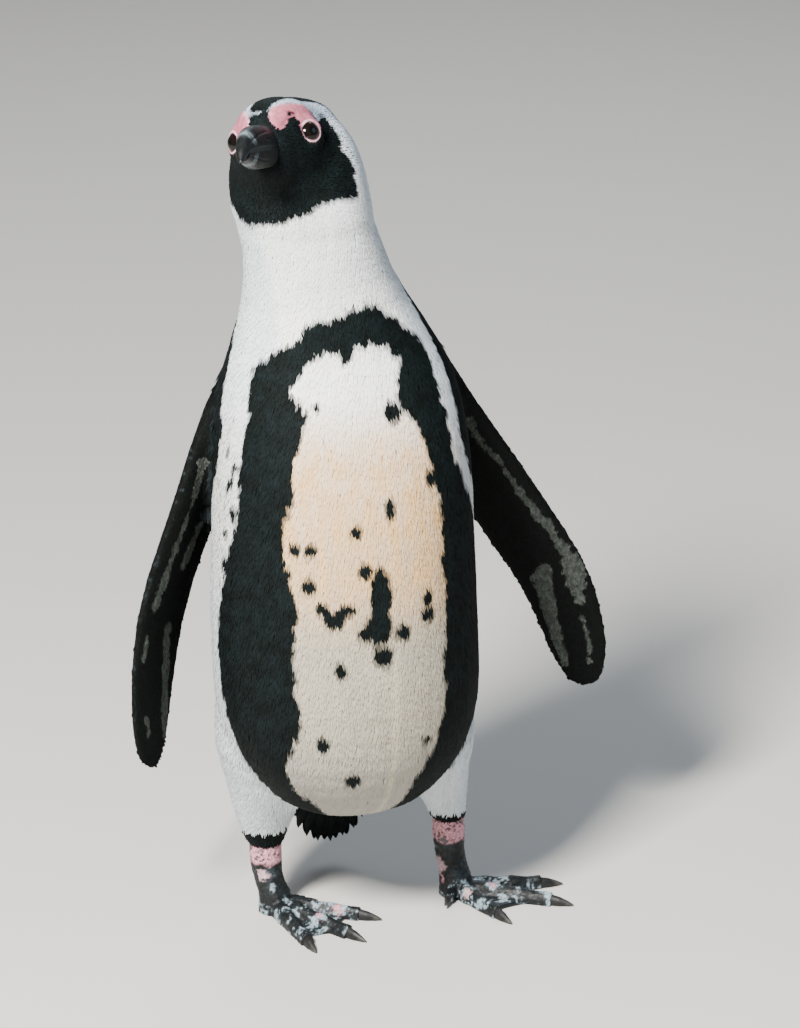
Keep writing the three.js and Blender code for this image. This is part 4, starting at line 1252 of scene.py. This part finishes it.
def billTint(points, share, rise, upper):
    # black with a grey slanting band, growth lines across, wear lengthways, paler edges and painted shade in
    # the nostril
    dial = billDial
    wander = 0.02 * grain(points, 0.004, 71)
    band = bump(share - 0.10 * rise + wander, 0.63, 0.045) * ease(0.12, 0.4, rise)
    colour = blend(np.broadcast_to(np.array(dial["black"]), points.shape), np.array(dial["band"]),
                   band * (0.65 + 0.35 * grain(points, 0.0016, 72)))
    growth = grain(np.stack([share * 46, rise * 3.2, 0 * rise], -1), 1, 73)
    wear = grain(np.stack([share * 9, rise * 26, 0 * rise], -1), 1, 74)
    colour = colour * (1 + 0.35 * growth + 0.25 * wear)[:, None]
    colour = blend(colour, np.array(dial["edge"]), 0.7 * bump(rise, 0.06, 0.05) * ease(0.1, 0.3, share))
    if upper:
        # painted shade inside the nostril slit
        nostrilShade = bump(share, dial["nostrilAt"], 0.05) * bump(rise, nostrilRise(share), 0.05)
        colour = colour * (1 - 0.8 * nostrilShade)[:, None]
    return colour


footDial = {
    "voxel": 0.00085, "rounds": 5, "scale": 0.0024, "scaleHeight": 0.00030, "toeScale": 0.0017,
    # how far the ankle runs on up into the feathers, from how near its top, and how deep the skin's
    # wrinkles are
    "runsOn": 0.004, "nearTop": 0.0015, "wrinkle": 0.00022,
    "black": (0.0055, 0.0075, 0.0080), "blue": (0.27, 0.35, 0.40), "pink": (0.60, 0.29, 0.34),
    "palePink": (0.66, 0.46, 0.49), "slate": (0.022, 0.032, 0.038),
    # blotches: middle in millimetres, radius and colour
    "blotches": [(-74, 18, 27, 5, "palePink"), (-70, 12, 20, 4, "blue"), (-31, -2, 8, 5, "pink"),
                 (-45, -12, 9, 4, "pink"), (41, 22, 20, 7, "palePink"), (38, 14, 12, 5, "pink"),
                 (73, 6, 11, 4, "pink"), (101, 4, 8, 4, "pink"), (52, 2, 8, 5, "palePink")],
    # the pink band under the shank feathers: lowest and highest, in millimetres, on each foot
    "bands": {"right": (34, 49), "left": (38, 55)},
}


def footTint(points, side):
    # black skin, pale blue on the toes, with pink blotches and a pink band at the ankle
    fine = grain(points, 0.0016, 81)
    coarse = grain(points, 0.0055, 82)
    grit = grain(points, 0.0008, 83)
    height = points[:, 2] / mm
    tint = np.broadcast_to(np.array(footDial["black"]), points.shape)
    tint = blend(tint, np.array(footDial["slate"]), ease(-0.2, 0.6, coarse + 0.4 * fine) * 0.8)
    toes = 1 - ease(9, 17, height)
    pale = ease(0.10, 0.50, 0.75 * coarse + 0.55 * fine + 0.25 * grit + 0.42 * toes - 0.45)
    tint = blend(tint, np.array(footDial["blue"]), pale * (0.25 + 0.75 * toes))
    for x, y, z, radius, name in footDial["blotches"]:
        apart = np.linalg.norm(points / mm - np.array([x, y, z]), axis=1)
        spot = 1 - ease(radius * 0.55, radius, apart + 2.2 * fine + 1.2 * coarse)
        tint = blend(tint, np.array(footDial[name]), spot * 0.85)
    low, high = footDial["bands"][side]
    level = height + 2.4 * coarse + 1.0 * fine
    band = ease(low - 1.5, low + 1, level) * (1 - ease(high - 1, high + 1.5, level))
    speckle = ease(0.18, 0.40, 0.75 * fine + 0.45 * grit + 0.25 * coarse)
    return blend(tint, np.array(footDial["pink"]), band * (1 - 0.9 * speckle)).clip(0, 1)


def growFoot(side):
    # the CAD foot as one even surface, rounded, then raised into small scales and larger ones along the
    # toes
    points, triangles = cadArrays("foot_" + side)
    points[:, 2] += np.where(points[:, 2] > points[:, 2].max() - footDial["nearTop"], footDial["runsOn"], 0)
    points, quads = remeshed([(points, triangles)], footDial["voxel"])
    edges = edgesOf([quads])
    points = spread(points, edges, 0.5, footDial["rounds"])
    normals = pointNormals(points, [quads])
    above = ease(0.0006, 0.003, points[:, 2])
    toes = 1 - ease(0.012, 0.020, points[:, 2])
    scales = cellWalls(points, footDial["scale"], 84)
    small = cellWalls(points, footDial["toeScale"], 85)
    raised = ease(0.0, 0.35, scales) * (1 - toes) + ease(0.0, 0.35, small) * toes * 0.8 - 0.5
    wrinkle = grain(points * np.array([1, 1, 2.6]), 0.0035, 86)
    relief = footDial["scaleHeight"] * raised + footDial["wrinkle"] * wrinkle
    points = points + normals * (relief * above)[:, None]
    points[:, 2] = np.maximum(points[:, 2], 0.0)
    # painted shade in the grooves between the scales
    crease = 0.55 + 0.45 * ease(0.0, 0.22, np.where(toes > 0.5, small, scales))
    colour = footTint(points, side) * crease[:, None]
    makePiece("foot_skin_" + side, points, [quads], footSkin, colour, ["foot_" + side])


clawDial = {
    # how much it grows before it is rounded, how far its root goes back into the toe, and its lengthways
    # ridges
    "voxel": 0.00042, "rounds": 5, "grow": 0.00025, "root": 0.0016, "ridge": 0.00045, "ridgeHeight": 0.00004,
    "dark": (0.009, 0.009, 0.009), "tip": (0.055, 0.050, 0.045), "clear": 0.0001,
}


def growClaw(side, toe):
    # the CAD claw drawn back into the toe at its root, rounded, ridged lengthways and paler at the tip
    name = f"claw_{side}_{toe}"
    level = np.array([1, 1, 0])
    points, triangles = cadArrays(name)
    middle = points.mean(0)
    _, _, ways = np.linalg.svd((points - middle) * level, full_matrices=False)
    ahead = ways[0] * np.sign(ways[0] @ ((middle - cadArrays("foot_" + side)[0].mean(0)) * level))

    def shareOf(points):  # 0 at the root and 1 at the tip
        along = (points - middle) @ ahead
        return (along - along.min()) / np.ptp(along)

    share = shareOf(points)
    points = points + pointNormals(points, [triangles]) * clawDial["grow"]
    points = points - ahead * (clawDial["root"] * (1 - share))[:, None]
    points, quads = remeshed([(points, triangles)], clawDial["voxel"])
    points = spread(points, edgesOf([quads]), 0.5, clawDial["rounds"])
    share = shareOf(points)
    along, aside = (points - middle) @ ahead, (points - middle) @ np.cross(ahead, [0, 0, 1])
    ridges = np.cos(aside / clawDial["ridge"]) * clawDial["ridgeHeight"]
    points = points + pointNormals(points, [quads]) * ridges[:, None]
    points[:, 2] = np.maximum(points[:, 2], clawDial["clear"])
    streak = grain(np.stack([aside * 3, along * 0.3, 0 * along], -1), 0.0012, 91)
    colour = blend(np.broadcast_to(np.array(clawDial["dark"]), points.shape), np.array(clawDial["tip"]),
                   ease(0.45, 1.0, share + 0.12 * streak) * 0.8)
    makePiece("nail_" + name[5:], points, [quads], clawHorn, colour, [name])


def matte(place, painted):  # the painted colour as it is
    return {"Base Color": painted}


def skinFinish(place, painted):  # fine wrinkles and blotches over the painted colour
    fine = place.noise(420, 4)
    return {
        "Base Color": painted.times(fine.over(0.35, 0.7).greys(0.80, 1.08)),
        "Normal": (fine + place.cells(900) * 0.8).bumped(0.00025, 0.5),
    }


def hornFinish(place, painted):  # growth lines and fine scratches
    lines = place.noise(260, 5, 0.65)
    return {
        "Base Color": painted.times(lines.over(0.3, 0.75).greys(0.72, 1.35)),
        "Roughness": lines.over(0.25, 0.8) * 0.20 + 0.42,
        "Normal": (lines + place.noise(1100, 2) * 0.35).bumped(0.00018, 0.45),
    }


def scalyFinish(place, painted):  # wet-looking scales with fine creases
    fine = place.noise(900, 3)
    return {
        "Base Color": painted.times(fine.over(0.3, 0.7).greys(0.78, 1.15)),
        "Roughness": place.noise(300, 3).over(0.3, 0.7) * 0.25 + 0.38,
        "Normal": (fine + place.cells(1500) * 0.7).bumped(0.00022, 0.5),
    }


def eyeFinish(place, painted):  # the painted iris seen through a clear coat
    return {"Base Color": painted, "Roughness": place.noise(500, 2).over(0.2, 0.8) * 0.05 + 0.10}


feather = makeMaterial("feather", matte, {"Roughness": 0.68, "Specular IOR Level": 0.06})
bareSkin = makeMaterial("bareSkin", skinFinish, {"Roughness": 0.62, "Specular IOR Level": 0.10})
lidSkin = makeMaterial("lidSkin", skinFinish, {"Roughness": 0.5, "Specular IOR Level": 0.3})
billHorn = makeMaterial("billHorn", hornFinish, {"Specular IOR Level": 0.24})
clawHorn = makeMaterial("clawHorn", hornFinish, {"Specular IOR Level": 0.3})
footSkin = makeMaterial("footSkin", scalyFinish, {"Specular IOR Level": 0.28})
wetEye = makeMaterial("wetEye", eyeFinish,
                      {"Specular IOR Level": 0.15, "Coat Weight": 0.3, "Coat Roughness": 0.02})


def coverSkin(skin):  # the same marks as the feathers above it, a little darker as painted shade between the feathers, and pink on the bare face
    # painted shade: the skin under the feathers is a tenth darker than the feathers' marks
    tint = plumageTint(skin["points"], skin["node"]) * 0.9
    bare = bareFace(skin["points"])
    tint[bare] = faceTint(skin["points"][bare])
    makePiece("skin", skin["points"], [skin["quads"]], bareSkin, tint, fleshNodes)


placeCamera()
placeLights()
layFloor()
print("camera, lights and floor")
skin = growSkin()
coverSkin(skin)
print("skin", len(skin["points"]), "points", len(skin["quads"]), "quads")
growCoats(skin)
growTailFeathers()
for side in ("left", "right"):
    eyeball(side)
    lids(side)
    growFoot(side)
    for toe in ("inner", "middle", "outer", "hind"):
        growClaw(side, toe)
print("eyes, lids, feet and claws")
billHalf("horn_upper", True)
billHalf("horn_lower", False)
print("bill")
